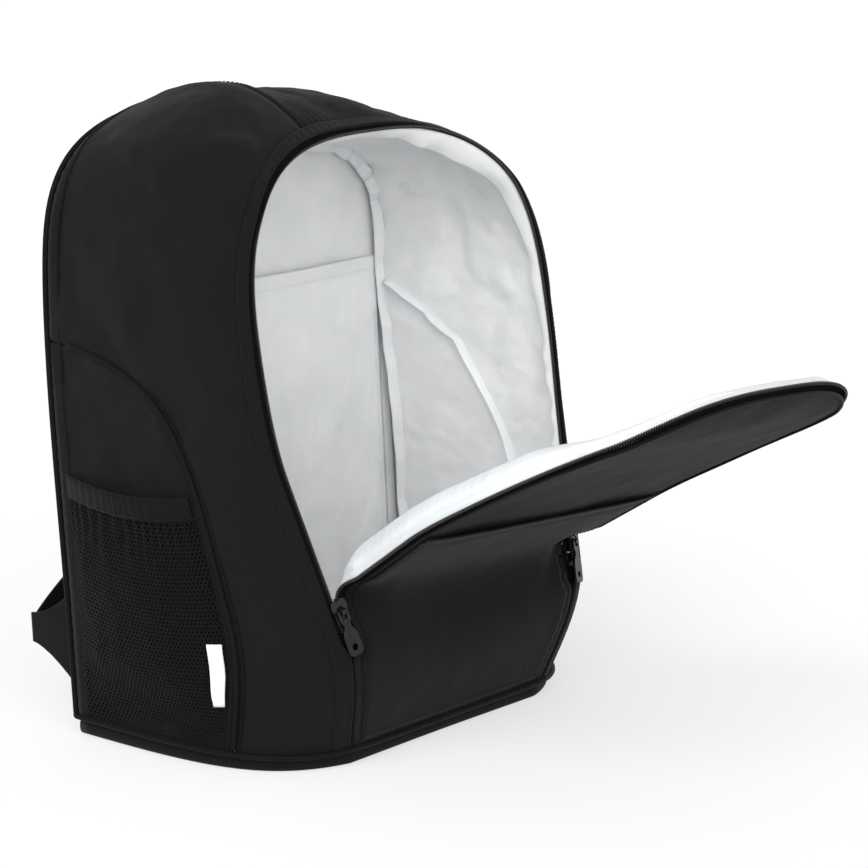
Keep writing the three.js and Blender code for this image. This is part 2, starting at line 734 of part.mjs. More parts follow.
function foldPoint(x, run, depth) {
  const turn = FLAP_OPEN_ANGLE * ease(run / FOLD_LENGTH);
  const point = frontPoint(x, FOLD_HEIGHT + run / FOLD_SLOPE, depth);
  return point.sub(hinge).applyAxisAngle(HINGE_AXIS, turn).add(hinge);
}

const FLAP_FOOT_HEIGHT = FOLD_HEIGHT + FOLD_LENGTH / FOLD_SLOPE;
const FLAP_STAND = LID_EDGE * Math.sin(SIDE_TURN);
const flapFootEdge = zipPoint(1 - shareAtHeight(FLAP_FOOT_HEIGHT), LID_EDGE, 0);
const FLAP_RISE = flapFootEdge.z - FLAP_FOOT_HEIGHT - FLAP_STAND * ZIP_LEAN_SHARE / FOLD_SLOPE;
const FLAP_FOOT_SHARE = shareAtHeight(FLAP_FOOT_HEIGHT - FLAP_RISE);
const POCKET_HEM_SHARE = shareAtHeight(FLAP_FOOT_HEIGHT + POCKET_HEM_LENGTH / FOLD_SLOPE);

function addFold() {
  const outer = WALL / 2 + GAP + POCKET_CLOTH;
  const fold = slab(heightsBetween(GAP, FOLD_LENGTH - GAP, 8), 4, (run, share, face) => {
    const height = FOLD_HEIGHT + run / FOLD_SLOPE;
    const drawn = FOLD_INSET * Math.sin(Math.PI * run / FOLD_LENGTH);
    const half = zipHalfWidth(height) - LID_EDGE - drawn;
    const lift = FLAP_STAND * ease(run / FOLD_LENGTH);
    return foldPoint(mix(-half, half, share), run, (face ? FLAP_SHELL / 2 : -outer) - lift);
  });
  add('flap_fold', fold, 'fabric');
}

// A point on the closed flap, seen from the hinge: share 0 is its left edge, 1 its right
function flapPoint(t, share, depth, inset) {
  const edge = zipPoint(1 - t, LID_EDGE + inset, 0);
  const archShare = ease((edge.z - OPENING_SHOULDER_HEIGHT) / (OPENING_HEIGHT - OPENING_SHOULDER_HEIGHT));
  const stand = LID_EDGE * Math.sin(mix(SIDE_TURN, TOP_TURN, archShare));
  const half = Math.max(edge.x, 0);
  const raised = frontPoint(0, edge.z, -stand).z - edge.z;
  return frontPoint(mix(-half, half, share), edge.z - raised, depth - stand).sub(hinge);
}

// A layer of the flap, with its columns crowded towards both edges
function flapSlab(levels, columns, inset, depthAt) {
  const first = levels[0];
  return slab(levels, columns, (t, share, face) => {
    const rowShare = (t - first) / (1 - first);
    const crowded = (1 - Math.cos(Math.PI * share)) / 2;
    return flapPoint(t, crowded, depthAt(rowShare, 2 * crowded - 1, face), inset);
  });
}

function flapDome(rowShare, across) {
  const full = mix(FLAP_FOAM_FOOT, FLAP_FOAM_HEAD, rowShare);
  const footShare = ease(rowShare / FLAP_FOAM_FOOT_SHARE);
  const rowCrown = footShare * ease((1 - rowShare) / FLAP_FOAM_HEAD_SHARE);
  return mix(FLAP_FOAM_EDGE, full, rowCrown * (1 - across ** FLAP_FOAM_POWER));
}

function addFlap() {
  const levels = levelsFrom(FLAP_FOOT_SHARE);
  const half = FLAP_SHELL / 2;
  const shell = flapSlab(levels, 6, 0, (row, across, face) => (face ? half : -half));
  add('flap_outer', shell, 'weave', flap);
  const inner = half + GAP;
  const foam = flapSlab(levels, 6, FLAP_FOAM_INSET, (row, across, face) => (
    inner + (face ? flapDome(row, across) : 0)));
  add('flap_foam', foam, 'foam', flap);
  const lining = flapSlab(levels, 6, FLAP_FOAM_INSET, (row, across, face) => (
    inner + flapDome(row, across) + GAP + (face ? LINING : 0)));
  add('flap_lining', lining, 'lining', flap);
  addFlapTrim();
}

function addFlapTrim() {
  const rows = rowsAround(FLAP_FOOT_SHARE);
  const half = FLAP_SHELL / 2;
  const pipingDepth = half + GAP + FLAP_PIPING_RADIUS;
  const path = rows.map((u) => {
    const point = flapPoint(1 - Math.abs(u), u < 0 ? 0 : 1, -pipingDepth, 2 * FLAP_PIPING_RADIUS);
    return point;
  });
  add('flap_piping', tube(path, FLAP_PIPING_RADIUS), 'trim', flap);
  const tapeFrom = COIL_SPACE + COIL_WIDTH + GAP;
  const tape = slab(rows, 1, (u, share, face) => (
    zipPoint(u, mix(tapeFrom, LID_EDGE - GAP, share), face ? TAPE / 2 : -TAPE / 2).sub(hinge)));
  add('zip_tape_flap', tape, 'trim', flap);
  const teeth = coil(rows, COIL_SPACE).translate(-hinge.x, -hinge.y, -hinge.z);
  add('zip_coil_flap', teeth, 'zip', flap);
  const hemRows = levelsFrom(FLAP_FOOT_SHARE, POCKET_HEM_SHARE);
  const hem = slab(hemRows, 6, (t, share, face) => {
    const depth = half + SOFT_GAP + (face ? 0 : POCKET_CLOTH);
    return flapPoint(t, share, -depth, POCKET_INSET);
  });
  add('flap_pocket_hem', hem, 'fabric', flap);
}

// The stiff back and the boards under the bag
function backPoint(t, share, depth, inset) {
  const edge = backOutline(t, inset);
  const lean = (backDepth(edge.z + STEP) - backDepth(edge.z - STEP)) / (2 * STEP);
  const inner = new THREE.Vector3(0, -1, lean).normalize();
  const half = Math.max(edge.x, 0);
  const point = settle(new THREE.Vector3(mix(half, -half, share), edge.y, edge.z), 0);
  return point.addScaledVector(inner, depth);
}

function addBack() {
  const levels = levelsFrom(FOOT_SHARE);
  const inset = WALL / 2 + 2 * GAP;
  const panel = slab(levels, 8, (t, share, face) => backPoint(t, share, face ? BACK_FOAM : 0, inset));
  add('back_panel', panel, 'fabric');
  const liningDepth = BACK_FOAM + SOFT_GAP;
  const lining = slab(levels, 6, (t, share, face) => (
    backPoint(t, share, liningDepth + (face ? LINING : 0), inset + 2 * WALL)));
  add('back_lining', lining, 'lining');
  const seat = liningDepth + LINING + SOFT_GAP;
  const shares = heightsBetween(0, 1, 7);
  const pocket = slab(shares, 8, (rowShare, share, face) => {
    const height = mix(SLIP_POCKET_FOOT + WALL_FOOT, SLIP_POCKET_HEIGHT, rowShare);
    const crown = Math.sin(Math.PI * share) * ease(rowShare * SLIP_FOOT_SHARE);
    const depth = seat + SLIP_POCKET_STAND * crown + (face ? SLIP_CLOTH : 0);
    const t = SHOULDER_SHARE * height / BACK_SHOULDER_HEIGHT;
    return backPoint(t, share, depth, inset + 4 * WALL);
  });
  add('inner_slip_pocket', pocket, 'lining');
}

function baseOutline(inset) {
  const shape = new THREE.Shape();
  const sides = heightsBetween(0, 1, SKIN_COLUMNS).map((s) => skin(1, s));
  const points = sides.map((point) => new THREE.Vector2(point.x - inset, point.y));
  const ends = [points[0], points[points.length - 1]];
  ends[0].y -= inset;
  ends[1].y += inset;
  const left = points.map((point) => new THREE.Vector2(-point.x, point.y)).reverse();
  return shape.setFromPoints([...points, ...left]);
}

function addBase() {
  const options = {
    depth: BASE_HEIGHT - 2 * BASE_ROUNDING,
    bevelThickness: BASE_ROUNDING,
    bevelSize: BASE_ROUNDING,
    bevelSegments: 2,
  };
  const plate = new THREE.ExtrudeGeometry(baseOutline(BASE_ROUNDING), options);
  add('base_panel', welded(plate.translate(0, 0, BASE_ROUNDING)), 'fabric');
  const lining = extruded(baseOutline(4 * WALL), WALL_FOOT, WALL_FOOT + LINING);
  add('base_lining', lining, 'lining');
}

// White lining inside the side and top walls
function addGussetLining() {
  const start = shareAtHeight(WALL_FOOT + LINING + SOFT_GAP);
  const depth = WALL / 2 + LINING_GAP;
  const lining = slab(rowsAround(start), 6, (u, share, face) => {
    const s = mix(LINING_REAR_SHARE, shareBehindZip(u, WALL_FRONT), share);
    return skinPoint(u, s, depth + (face ? LINING : 0));
  });
  add('gusset_lining', lining, 'lining');
}

function addPiping() {
  const clear = WALL / 2 + GAP + PIPING_RADIUS;
  const rows = rowsAround(shareAtHeight(WALL_FOOT + 4 * PIPING_RADIUS));
  const corner = rows.map((u) => {
    const point = skinPoint(u, 0, -clear * PIPING_SINK_SHARE);
    return point.add(new THREE.Vector3(0, GAP + PIPING_RADIUS, 0));
  });
  add('back_piping', tube(corner, PIPING_RADIUS), 'trim');
  for (const side of [-1, 1]) {
    const name = side < 0 ? 'left' : 'right';
    const levels = [shareAtHeight(WALL_FOOT + 4 * PIPING_RADIUS), ...CONTOUR_ROWS.slice(0, -1)];
    const seam = (t) => contourShare(t) + CONTOUR_GAP_SHARE / 2;
    const outside = levels.map((t) => skinPoint(side * (1 - t), seam(t), -clear));
    add(`${name}_contour_piping`, tube(outside, PIPING_RADIUS, 2), 'trim');
    const inward = WALL / 2 + LINING_GAP + LINING + SOFT_GAP + BINDING_RADIUS;
    const inside = levels.map((t) => (
      skinPoint(side * (1 - t), Math.max(seam(t), BINDING_REAR_SHARE), inward)));
    add(`${name}_inner_binding`, tube(inside, BINDING_RADIUS, 2), 'lining');
  }
  add('base_piping', tube(basePath(clear + GAP), PIPING_RADIUS), 'trim');
}

// Round the foot of the walls, from the middle of the back and round to it again
function basePath(clear) {
  const height = WALL_FOOT + PIPING_RADIUS;
  const t = shareAtHeight(height);
  const u = 1 - t;
  const back = backDepth(height);
  const side = heightsBetween(0, BASE_PIPING_END_SHARE, 8).map((s) => skinPoint(u, s, -clear));
  const half = alongKnots(SPREAD_KNOTS, height);
  const front = FRONT_PIPING_SHARES.map((share) => frontPoint(half * share, height, -clear - GAP));
  const toe = rim(u).add(new THREE.Vector3(clear, -clear - GAP, 0).multiplyScalar(TOE_SHARE));
  const corner = skin(u, 0).add(new THREE.Vector3(clear, clear, 0).multiplyScalar(CORNER_SHARE));
  const rear = REAR_PIPING_SHARES.map((share) => (
    new THREE.Vector3(corner.x * share, back + clear, height)));
  rear[0].x = GAP;
  const right = [...rear, corner, ...side, toe, ...front];
  const left = right.map((point) => new THREE.Vector3(-point.x, point.y, point.z)).reverse();
  return [...right, frontPoint(0, height, -clear - GAP), ...left];
}

// Side pockets of mesh: they stand off the contour panel and close on it all round but the top
function meshTop(share) {
  const sag = MESH_SAG * Math.sin(Math.PI * share);
  return mix(MESH_REAR_HEIGHT, MESH_FRONT_HEIGHT, share) - sag;
}

function meshDepth(rowShare, share) {
  const topShare = ease((rowShare - MESH_TOP_SHARE) / (1 - MESH_TOP_SHARE));
  const footShare = ease(rowShare / MESH_FOOT_SHARE);
  const fullness = footShare * mix(1, MESH_TOP_FULLNESS_SHARE, topShare);
  const across = Math.sin(Math.PI * share) ** MESH_POWER;
  return WALL / 2 + MESH_EDGE_STAND + MESH_BULGE * fullness * across;
}

function meshPoint(side, height, rowShare, share, outward) {
  const t = shareAtHeight(height);
  const s = mix(MESH_EDGE_SHARE, contourShare(t) - MESH_EDGE_SHARE, share);
  return skinPoint(side * (1 - t), s, -meshDepth(rowShare, share) - outward);
}

function addSidePockets() {
  const rows = heightsBetween(0, 1, 9);
  for (const side of [-1, 1]) {
    const name = side < 0 ? 'left' : 'right';
    const net = slab(rows, 10, (rowShare, share, face) => {
      const height = mix(MESH_FOOT_HEIGHT, meshTop(share), rowShare);
      return meshPoint(side, height, rowShare, share, face ? 0 : MESH);
    });
    add(`${name}_mesh_pocket`, net, 'mesh');
    const elastic = slab(heightsBetween(0, 1, 2), 10, (rowShare, share, face) => {
      const height = meshTop(share) + GAP + ELASTIC_HEIGHT * rowShare;
      return meshPoint(side, height, 1, share, face ? -GAP : ELASTIC - GAP);
    });
    add(`${name}_pocket_elastic`, elastic, 'trim');
  }
  const labelRows = heightsBetween(0, 1, 3);
  const label = slab(labelRows, 3, (rowShare, share, face) => {
    const height = LABEL_FOOT_HEIGHT + LABEL_HEIGHT * rowShare;
    const t = shareAtHeight(height);
    const netWidth = skin(t - 1, contourShare(t)).distanceTo(skin(t - 1, 0));
    const across = 1 - (LABEL_EDGE + LABEL_WIDTH * (1 - share)) / netWidth;
    const netShare = (height - MESH_FOOT_HEIGHT) / (meshTop(across) - MESH_FOOT_HEIGHT);
    return meshPoint(-1, height, netShare, across, MESH + SOFT_GAP + (face ? 0 : LABEL));
  });
  add('side_label', label, 'label');
}

// The slider's outline seen from the front: two shoulders with a notch, and a narrower tail
function sliderOutline() {
  const half = SLIDER_LENGTH / 2;
  const neck = half - 2 * SLIDER_CORNER - SLIDER_NOTCH;
  const tail = SLIDER_TAIL_HALF_WIDTH;
  const wide = SLIDER_HALF_WIDTH;
  const shape = new THREE.Shape();
  shape.moveTo(-tail + SLIDER_CORNER, -half);
  shape.lineTo(tail - SLIDER_CORNER, -half);
  shape.quadraticCurveTo(tail, -half, tail, -half + SLIDER_CORNER);
  shape.lineTo(tail, 0);
  shape.quadraticCurveTo(wide, SLIDER_CORNER, wide, neck);
  shape.quadraticCurveTo(wide, half, wide / 2, half);
  shape.quadraticCurveTo(POST_HALF_WIDTH, half, 0, half - SLIDER_NOTCH);
  shape.quadraticCurveTo(-POST_HALF_WIDTH, half, -wide / 2, half);
  shape.quadraticCurveTo(-wide, half, -wide, neck);
  shape.quadraticCurveTo(-wide, SLIDER_CORNER, -tail, 0);
  shape.lineTo(-tail, -half + SLIDER_CORNER);
  shape.quadraticCurveTo(-tail, -half, -tail + SLIDER_CORNER, -half);
  return shape;
}

const CHANNEL = COIL_THICKNESS / 2 + COIL_CLEARANCE;
const SLIDER_FACE = CHANNEL + SLIDER_PLATE;
const PULLER_PIVOT = SLIDER_FACE + PULLER_THICKNESS / 2 + GAP;

function sliderGeometry() {
  const outline = sliderOutline();
  const lip = TAPE / 2 + TAPE_CLEARANCE;
  const whole = toSolid(extruded(outline, -SLIDER_FACE, SLIDER_FACE, 3));
  const coilHalf = COIL_SPACE / 2 + COIL_WIDTH + COIL_CLEARANCE;
  const long = SLIDER_LENGTH + 2 * OVERRUN;
  const channel = new THREE.BoxGeometry(2 * coilHalf, long, 2 * CHANNEL);
  const slot = new THREE.BoxGeometry(2 * SLIDER_HALF_WIDTH + 2 * OVERRUN, long, 2 * lip);
  let body = whole.subtract(toSolid(welded(channel))).subtract(toSolid(welded(slot)));
  const postTop = SLIDER_LENGTH / 2 - SLIDER_NOTCH - GAP;
  const post = new THREE.Shape();
  post.moveTo(0, postTop);
  post.lineTo(POST_HALF_WIDTH, postTop - POST_LENGTH / 3);
  post.lineTo(POST_HALF_WIDTH * POST_FOOT_SHARE, postTop - POST_LENGTH);
  post.lineTo(-POST_HALF_WIDTH * POST_FOOT_SHARE, postTop - POST_LENGTH);
  post.lineTo(-POST_HALF_WIDTH, postTop - POST_LENGTH / 3);
  const joint = SLIDER_PLATE / 2;
  body = body.add(toSolid(extruded(post, -CHANNEL - joint, CHANNEL + joint)));
  const arch = new THREE.Shape();
  arch.absarc(0, 0, CROWN_RADIUS, 0, Math.PI);
  arch.lineTo(-CROWN_RADIUS, -joint);
  arch.lineTo(-CROWN_HOLE_RADIUS, -joint);
  arch.absarc(0, 0, CROWN_HOLE_RADIUS, Math.PI, 0, true);
  arch.lineTo(CROWN_HOLE_RADIUS, -joint);
  arch.lineTo(CROWN_RADIUS, -joint);
  const crown = extruded(arch, -CROWN_WIDTH / 2, CROWN_WIDTH / 2, 10);
  crown.rotateX(Math.PI / 2).rotateZ(Math.PI / 2).translate(0, 0, SLIDER_FACE);
  return fromSolid(body.add(toSolid(crown)));
}

// The puller hangs from its bar at the origin: an eye round the crown, a neck and a plain tab
function pullerGeometry() {
  const half = PULLER_THICKNESS / 2;
  const tail = -PULLER_LENGTH;
  const round = PULLER_HALF_WIDTH * PULLER_CORNER_SHARE;
  const shoulder = -PULLER_NECK_LENGTH * PULLER_SHOULDER_SHARE;
  const belly = tail * PULLER_BELLY_SHARE;
  const eye = PULLER_EYE_HALF_WIDTH;
  const neck = PULLER_NECK_HALF_WIDTH;
  const wide = PULLER_HALF_WIDTH;
  const shape = new THREE.Shape();
  shape.moveTo(-eye, 0);
  shape.lineTo(-eye, -PULLER_EYE_LENGTH + PULLER_THICKNESS);
  shape.quadraticCurveTo(-eye, -PULLER_EYE_LENGTH, -neck, -PULLER_NECK_LENGTH);
  shape.bezierCurveTo(-neck, shoulder, -wide, shoulder, -wide, belly);
  shape.lineTo(-wide, tail + round);
  shape.quadraticCurveTo(-wide, tail, -wide + round, tail);
  shape.lineTo(wide - round, tail);
  shape.quadraticCurveTo(wide, tail, wide, tail + round);
  shape.lineTo(wide, belly);
  shape.bezierCurveTo(wide, shoulder, neck, shoulder, neck, -PULLER_NECK_LENGTH);
  shape.quadraticCurveTo(eye, -PULLER_EYE_LENGTH, eye, -PULLER_EYE_LENGTH + PULLER_THICKNESS);
  shape.lineTo(eye, 0);
  const hole = new THREE.Path();
  hole.absarc(0, tail + PULLER_HOLE_INSET, PULLER_HOLE_RADIUS, 0, 2 * Math.PI);
  shape.holes.push(hole);
  const plate = toSolid(extruded(shape, -half, half));
  const through = PULLER_THICKNESS + OVERRUN;
  const window = new THREE.BoxGeometry(2 * PULLER_WINDOW_HALF_WIDTH, PULLER_WINDOW_LENGTH, through);
  window.translate(0, -PULLER_WINDOW_LENGTH / 2, 0);
  const bar = new THREE.CylinderGeometry(half, half, 2 * PULLER_EYE_HALF_WIDTH, TUBE_SIDES);
  bar.rotateZ(Math.PI / 2);
  return fromSolid(plate.subtract(toSolid(welded(window))).add(toSolid(welded(bar))));
}

function addSliders() {
  for (const side of [-1, 1]) {
    const name = side < 0 ? 'left' : 'right';
    const u = side * (1 - shareAtHeight(SLIDER_HEIGHT));
    const frame = zipFrame(u);
    const up = frame.along.clone().multiplyScalar(-side);
    const out = frame.inner.clone().negate();
    const across = up.clone().cross(out);
    const turn = new THREE.Matrix4().makeBasis(across, up, out);
    const slider = add(`${name}_slider`, sliderGeometry(), 'metal');
    slider.position.copy(zipPoint(u, COIL_SPACE / 2, 0));
    slider.quaternion.setFromRotationMatrix(turn);
    const puller = add(`${name}_puller`, pullerGeometry(), 'metal');
    puller.position.copy(slider.position).addScaledVector(out, PULLER_PIVOT);
    puller.quaternion.copy(slider.quaternion);
  }
}

// Outside the back: patch, straps, buckles, webbing, corner wings and the carry handle
function onBack(x, height, stand) {
  return new THREE.Vector3(x, backDepth(height) + stand, height);
}

const strapSeat = YOKE_FOOT_HEIGHT - STRAP_SEAT;

function strapPath() {
  const points = STRAP_SPREAD_SHARES.map((spread, i) => {
    const height = mix(strapSeat, STRAP_FOOT_HEIGHT, STRAP_DROP_SHARES[i]);
    return new THREE.Vector3(-spread * BACK_HALF_WIDTH, 0, height);
  });
  return new THREE.CatmullRomCurve3(points, false, 'centripetal');
}

function strapGeometry() {
  const path = strapPath();
  return slab(heightsBetween(0, 1, 11), 6, (along, share, face) => {
    const centre = path.getPoint(along);
    const run = path.getTangent(along);
    const aside = new THREE.Vector3(-run.z, 0, run.x).normalize();
    const narrow = ease((along - STRAP_NARROW_SHARE) / (1 - STRAP_NARROW_SHARE));
    const half = mix(STRAP_HALF_WIDTH, STRAP_END_HALF_WIDTH, narrow);
    const across = 2 * share - 1;
    const bow = Math.sin(Math.PI * along ** STRAP_STAND_POWER) ** STRAP_ROUND_POWER;
    const stand = STRAP_SEAT + STRAP_STAND * bow;
    const crown = mix(STRAP_EDGE_THICKNESS, STRAP_THICKNESS, 1 - across ** 4);
    const endShare = ease(along / STRAP_END_SHARE) * ease((1 - along) / STRAP_END_SHARE);
    const ends = mix(STRAP_END_THICKNESS_SHARE, 1, endShare);
    const point = centre.addScaledVector(aside, half * across);
    const lift = stand + STRAP_THICKNESS / 2 + (face ? 1 : -1) * crown * ends / 2;
    return onBack(point.x, point.z, lift);
  });
}

function buckleGeometry() {
  const half = BUCKLE_HEIGHT / 2;
  const corner = BUCKLE_RIM;
  const frame = roundedRectangle(BUCKLE_HALF_WIDTH, half, corner);
  const slotHalf = BUCKLE_HALF_WIDTH - BUCKLE_RIM;
  const slotHeight = (BUCKLE_HEIGHT - 2 * BUCKLE_RIM - BUCKLE_BAR) / 4;
  for (const side of [-1, 1]) {
    const slot = roundedRectangle(slotHalf, slotHeight, BUCKLE_SLOT_CORNER);
    const points = slot.getPoints(4).map((point) => (
      new THREE.Vector2(point.x, point.y + side * (slotHeight + BUCKLE_BAR / 2))));
    frame.holes.push(new THREE.Path(points));
  }
  return extruded(frame, -BUCKLE_THICKNESS / 2, BUCKLE_THICKNESS / 2, 4).rotateX(Math.PI / 2);
}

function roundedRectangle(halfWidth, halfHeight, corner) {
  const shape = new THREE.Shape();
  shape.moveTo(-halfWidth + corner, -halfHeight);
  shape.lineTo(halfWidth - corner, -halfHeight);
  shape.quadraticCurveTo(halfWidth, -halfHeight, halfWidth, -halfHeight + corner);
  shape.lineTo(halfWidth, halfHeight - corner);
  shape.quadraticCurveTo(halfWidth, halfHeight, halfWidth - corner, halfHeight);
  shape.lineTo(-halfWidth + corner, halfHeight);
  shape.quadraticCurveTo(-halfWidth, halfHeight, -halfWidth, halfHeight - corner);
  shape.lineTo(-halfWidth, -halfHeight + corner);
  shape.quadraticCurveTo(-halfWidth, -halfHeight, -halfWidth + corner, -halfHeight);
  return shape;
}

const strapEnd = STRAP_SPREAD_SHARES[STRAP_SPREAD_SHARES.length - 1] * BACK_HALF_WIDTH;
const buckleHeight = STRAP_FOOT_HEIGHT - 2 * SOFT_GAP - BUCKLE_HEIGHT / 2;
const buckleStand = STRAP_SEAT + STRAP_THICKNESS / 2;
const wingX = BACK_HALF_WIDTH - WING_INSET;

function wingGeometry() {
  const heights = heightsBetween(0, 1, 3);
  return slab(heights, 4, (rowShare, share, face) => {
    const root = WING_FOOT_HEIGHT + WING_HEIGHT * rowShare;
    const tip = WING_TIP_FOOT_HEIGHT + 2 * WEBBING_HALF_WIDTH * rowShare;
    const narrowing = 1 - (1 - share) ** WING_POWER;
    const height = mix(root, tip, narrowing);
    return onBack(-wingX + (face ? 1 : 0) * WING_THICKNESS, height, STRAP_SEAT + WING_REACH * share);
  });
}

function webbingGeometry() {
  const tipHeight = WING_TIP_FOOT_HEIGHT + WEBBING_HALF_WIDTH;
  const start = onBack(-wingX + WING_THICKNESS + GAP, tipHeight, STRAP_SEAT + WING_REACH - WEBBING);
  const end = onBack(-strapEnd, buckleHeight - BUCKLE_HEIGHT / 2 - GAP, buckleStand - WEBBING / 2);
  const middleX = mix(start.x, end.x, WEBBING_OUT_SHARE);
  const middle = new THREE.Vector3(middleX, start.y, mix(start.z, end.z, WEBBING_UP_SHARE));
  const path = new THREE.QuadraticBezierCurve3(start, middle, end);
  return slab(heightsBetween(0, 1, 8), 1, (along, share, face) => {
    const turn = along * Math.PI / 2;
    const aside = new THREE.Vector3(-Math.sin(turn), 0, Math.cos(turn));
    const point = path.getPoint(along);
    point.addScaledVector(aside, mix(-WEBBING_HALF_WIDTH, WEBBING_HALF_WIDTH, share));
    point.y += (face ? 1 : 0) * WEBBING;
    return point;
  });
}

function addCarrying() {
  const patchStand = 2 * GAP;
  const patch = slab(heightsBetween(0, 1, 3), 6, (rowShare, share, face) => {
    const x = mix(-YOKE_HALF_WIDTH, YOKE_HALF_WIDTH, share);
    const point = new THREE.Vector3(x, 0, YOKE_FOOT_HEIGHT + YOKE_HEIGHT * rowShare);
    settle(point, 0);
    return onBack(point.x, point.z, patchStand + (face ? YOKE : 0));
  });
  add('strap_yoke', patch, 'fabric');
  const strap = strapGeometry();
  const wing = wingGeometry();
  const webbing = webbingGeometry();
  const buckle = buckleGeometry();
  const place = onBack(-strapEnd, buckleHeight, buckleStand);
  buckle.translate(place.x, place.y, place.z);
  for (const [piece, geometry, look] of [
    ['shoulder_strap', strap, 'fabric'],
    ['corner_wing', wing, 'fabric'],
    ['lower_webbing', webbing, 'trim'],
    ['strap_buckle', buckle, 'plastic'],
  ]) {
    add(`left_${piece}`, geometry, look);
    add(`right_${piece}`, mirrored(geometry), look);
  }
  addHandle(patchStand + YOKE);
}

// The rolled handle turns in two fabric tabs
function addHandle(patchFace) {
  const tabHalf = HANDLE_RADIUS + HANDLE_CLEARANCE + TAB_WALL;
  const height = HANDLE_HEIGHT - tabHalf;
  const pivot = onBack(0, height, patchFace + 3 * GAP + tabHalf);
  const bend = HANDLE_HALF_SPAN - HANDLE_END;
  const path = [];
  path.push(new THREE.Vector3(-HANDLE_HALF_SPAN - TAB_WIDTH, 0, 0));
  path.push(new THREE.Vector3(-HANDLE_HALF_SPAN - TAB_WIDTH / 2, 0, 0));
  path.push(new THREE.Vector3(-HANDLE_HALF_SPAN + HANDLE_END / 3, 0, 0));
  for (let i = 1; i < 8; i += 1) {
    const angle = Math.PI * i / 8;
    const drop = HANDLE_DROP * Math.sin(angle) ** HANDLE_POWER;
    path.push(new THREE.Vector3(-bend * Math.cos(angle), 0, -drop));
  }
  path.push(new THREE.Vector3(HANDLE_HALF_SPAN - HANDLE_END / 3, 0, 0));
  path.push(new THREE.Vector3(HANDLE_HALF_SPAN + TAB_WIDTH / 2, 0, 0));
  path.push(new THREE.Vector3(HANDLE_HALF_SPAN + TAB_WIDTH, 0, 0));
  const handle = add('carry_handle', tube(path, HANDLE_RADIUS, 2), 'trim');
  handle.position.copy(pivot);
  handle.rotation.x = HANDLE_TILT;
  const block = new THREE.BoxGeometry(TAB_WIDTH, 2 * tabHalf, 2 * tabHalf);
  const boreRadius = HANDLE_RADIUS + HANDLE_CLEARANCE;
  const bore = new THREE.CylinderGeometry(boreRadius, boreRadius, TAB_WIDTH + OVERRUN, 3 * TUBE_SIDES);
  bore.rotateZ(Math.PI / 2);
  const tab = fromSolid(toSolid(welded(block)).subtract(toSolid(welded(bore))));
  for (const side of [-1, 1]) {
    const x = side * (HANDLE_HALF_SPAN + TAB_WIDTH / 2);
    const mesh = add(side < 0 ? 'left_handle_tab' : 'right_handle_tab', tab.clone(), 'fabric');
    mesh.position.copy(pivot).setX(x);
  }
}

addWalls();
addZipOnBag();
addZipEnds();
addFront();
addFold();
addFlap();
addBack();
addBase();
addGussetLining();
addPiping();
addSidePockets();
addSliders();
addCarrying();

export default bag;
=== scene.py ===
"""Dresses a racket backpack in cloth, net, zip, padding, straps and lining.

The bag stands with its U-shaped zip undone and its padded flap folded forward. Shapes are worked
out in millimetres from the bag's own outlines and are made in metres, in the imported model's frame.
"""

import json
import math

import bmesh
import bpy
import numpy as np
from mathutils import Matrix, Vector, noise


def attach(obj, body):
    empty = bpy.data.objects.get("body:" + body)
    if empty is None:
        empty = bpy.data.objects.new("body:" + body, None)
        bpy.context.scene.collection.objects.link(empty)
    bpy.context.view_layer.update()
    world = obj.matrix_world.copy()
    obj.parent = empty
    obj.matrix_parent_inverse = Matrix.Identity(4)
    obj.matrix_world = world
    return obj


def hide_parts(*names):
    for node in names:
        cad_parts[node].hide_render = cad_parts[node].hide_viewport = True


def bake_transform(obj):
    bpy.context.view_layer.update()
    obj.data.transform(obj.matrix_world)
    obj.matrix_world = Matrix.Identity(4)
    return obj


bl_info = {
    "name": "Racket backpack",
    "version": (1, 0, 0),
    "blender": (4, 5, 0),
    "location": "3D View > Sidebar > Bag",
    "description": "Makes the cloth, zip, net, padding and straps of a racket backpack",
    "category": "Add Mesh",
}

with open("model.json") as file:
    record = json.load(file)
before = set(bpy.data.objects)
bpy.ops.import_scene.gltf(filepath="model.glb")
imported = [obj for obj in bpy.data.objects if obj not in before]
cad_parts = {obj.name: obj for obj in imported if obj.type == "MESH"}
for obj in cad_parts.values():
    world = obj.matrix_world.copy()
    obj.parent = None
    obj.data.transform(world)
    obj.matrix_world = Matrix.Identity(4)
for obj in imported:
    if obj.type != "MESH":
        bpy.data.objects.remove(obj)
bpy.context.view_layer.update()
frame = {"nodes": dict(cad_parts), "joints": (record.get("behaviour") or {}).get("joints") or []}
HINGE_JOINT = next(joint for joint in frame["joints"] if joint["name"] == "flap_hinge")
HINGE = np.array(HINGE_JOINT["pos_m"]) * 1000
HINGE_AXIS = np.array(HINGE_JOINT["axis"])

# Driving sizes of the body, in millimetres
BACK_HALF_WIDTH = 165.0
BACK_HEIGHT = 414.0
BACK_SHOULDER = 292.0
BACK_SPREAD = 2.0
BACK_DEPTH = 90.0
BACK_BULGE = 18.0
OPENING_HALF_WIDTH = 145.3
OPENING_HEIGHT = 398.0
OPENING_SHOULDER = 270.0
ZIP_FOOT = 96.0
ZIP_HEAD = 192.0
SLIDER_HEIGHT = 109.0
ZIP_SPREAD = 0.1965
ZIP_LEAN = 0.295
SHOULDER = 0.6
WALL = 2.8
WALL_FOOT = 10.3
WALL_FRONT = 13.3
CONTOUR_HEIGHT = 245.0
LID_EDGE = 8.5
FOLD_HEIGHT = 104.0
FOLD_LENGTH = 31.0
FOLD_INSET = 2.4
OPEN_ANGLE = math.radians(72.4)
COIL_WIDTH = 2.2
COIL_SPACE = 3.0
PIPING_RADIUS = 1.8
STEP = 1e-4


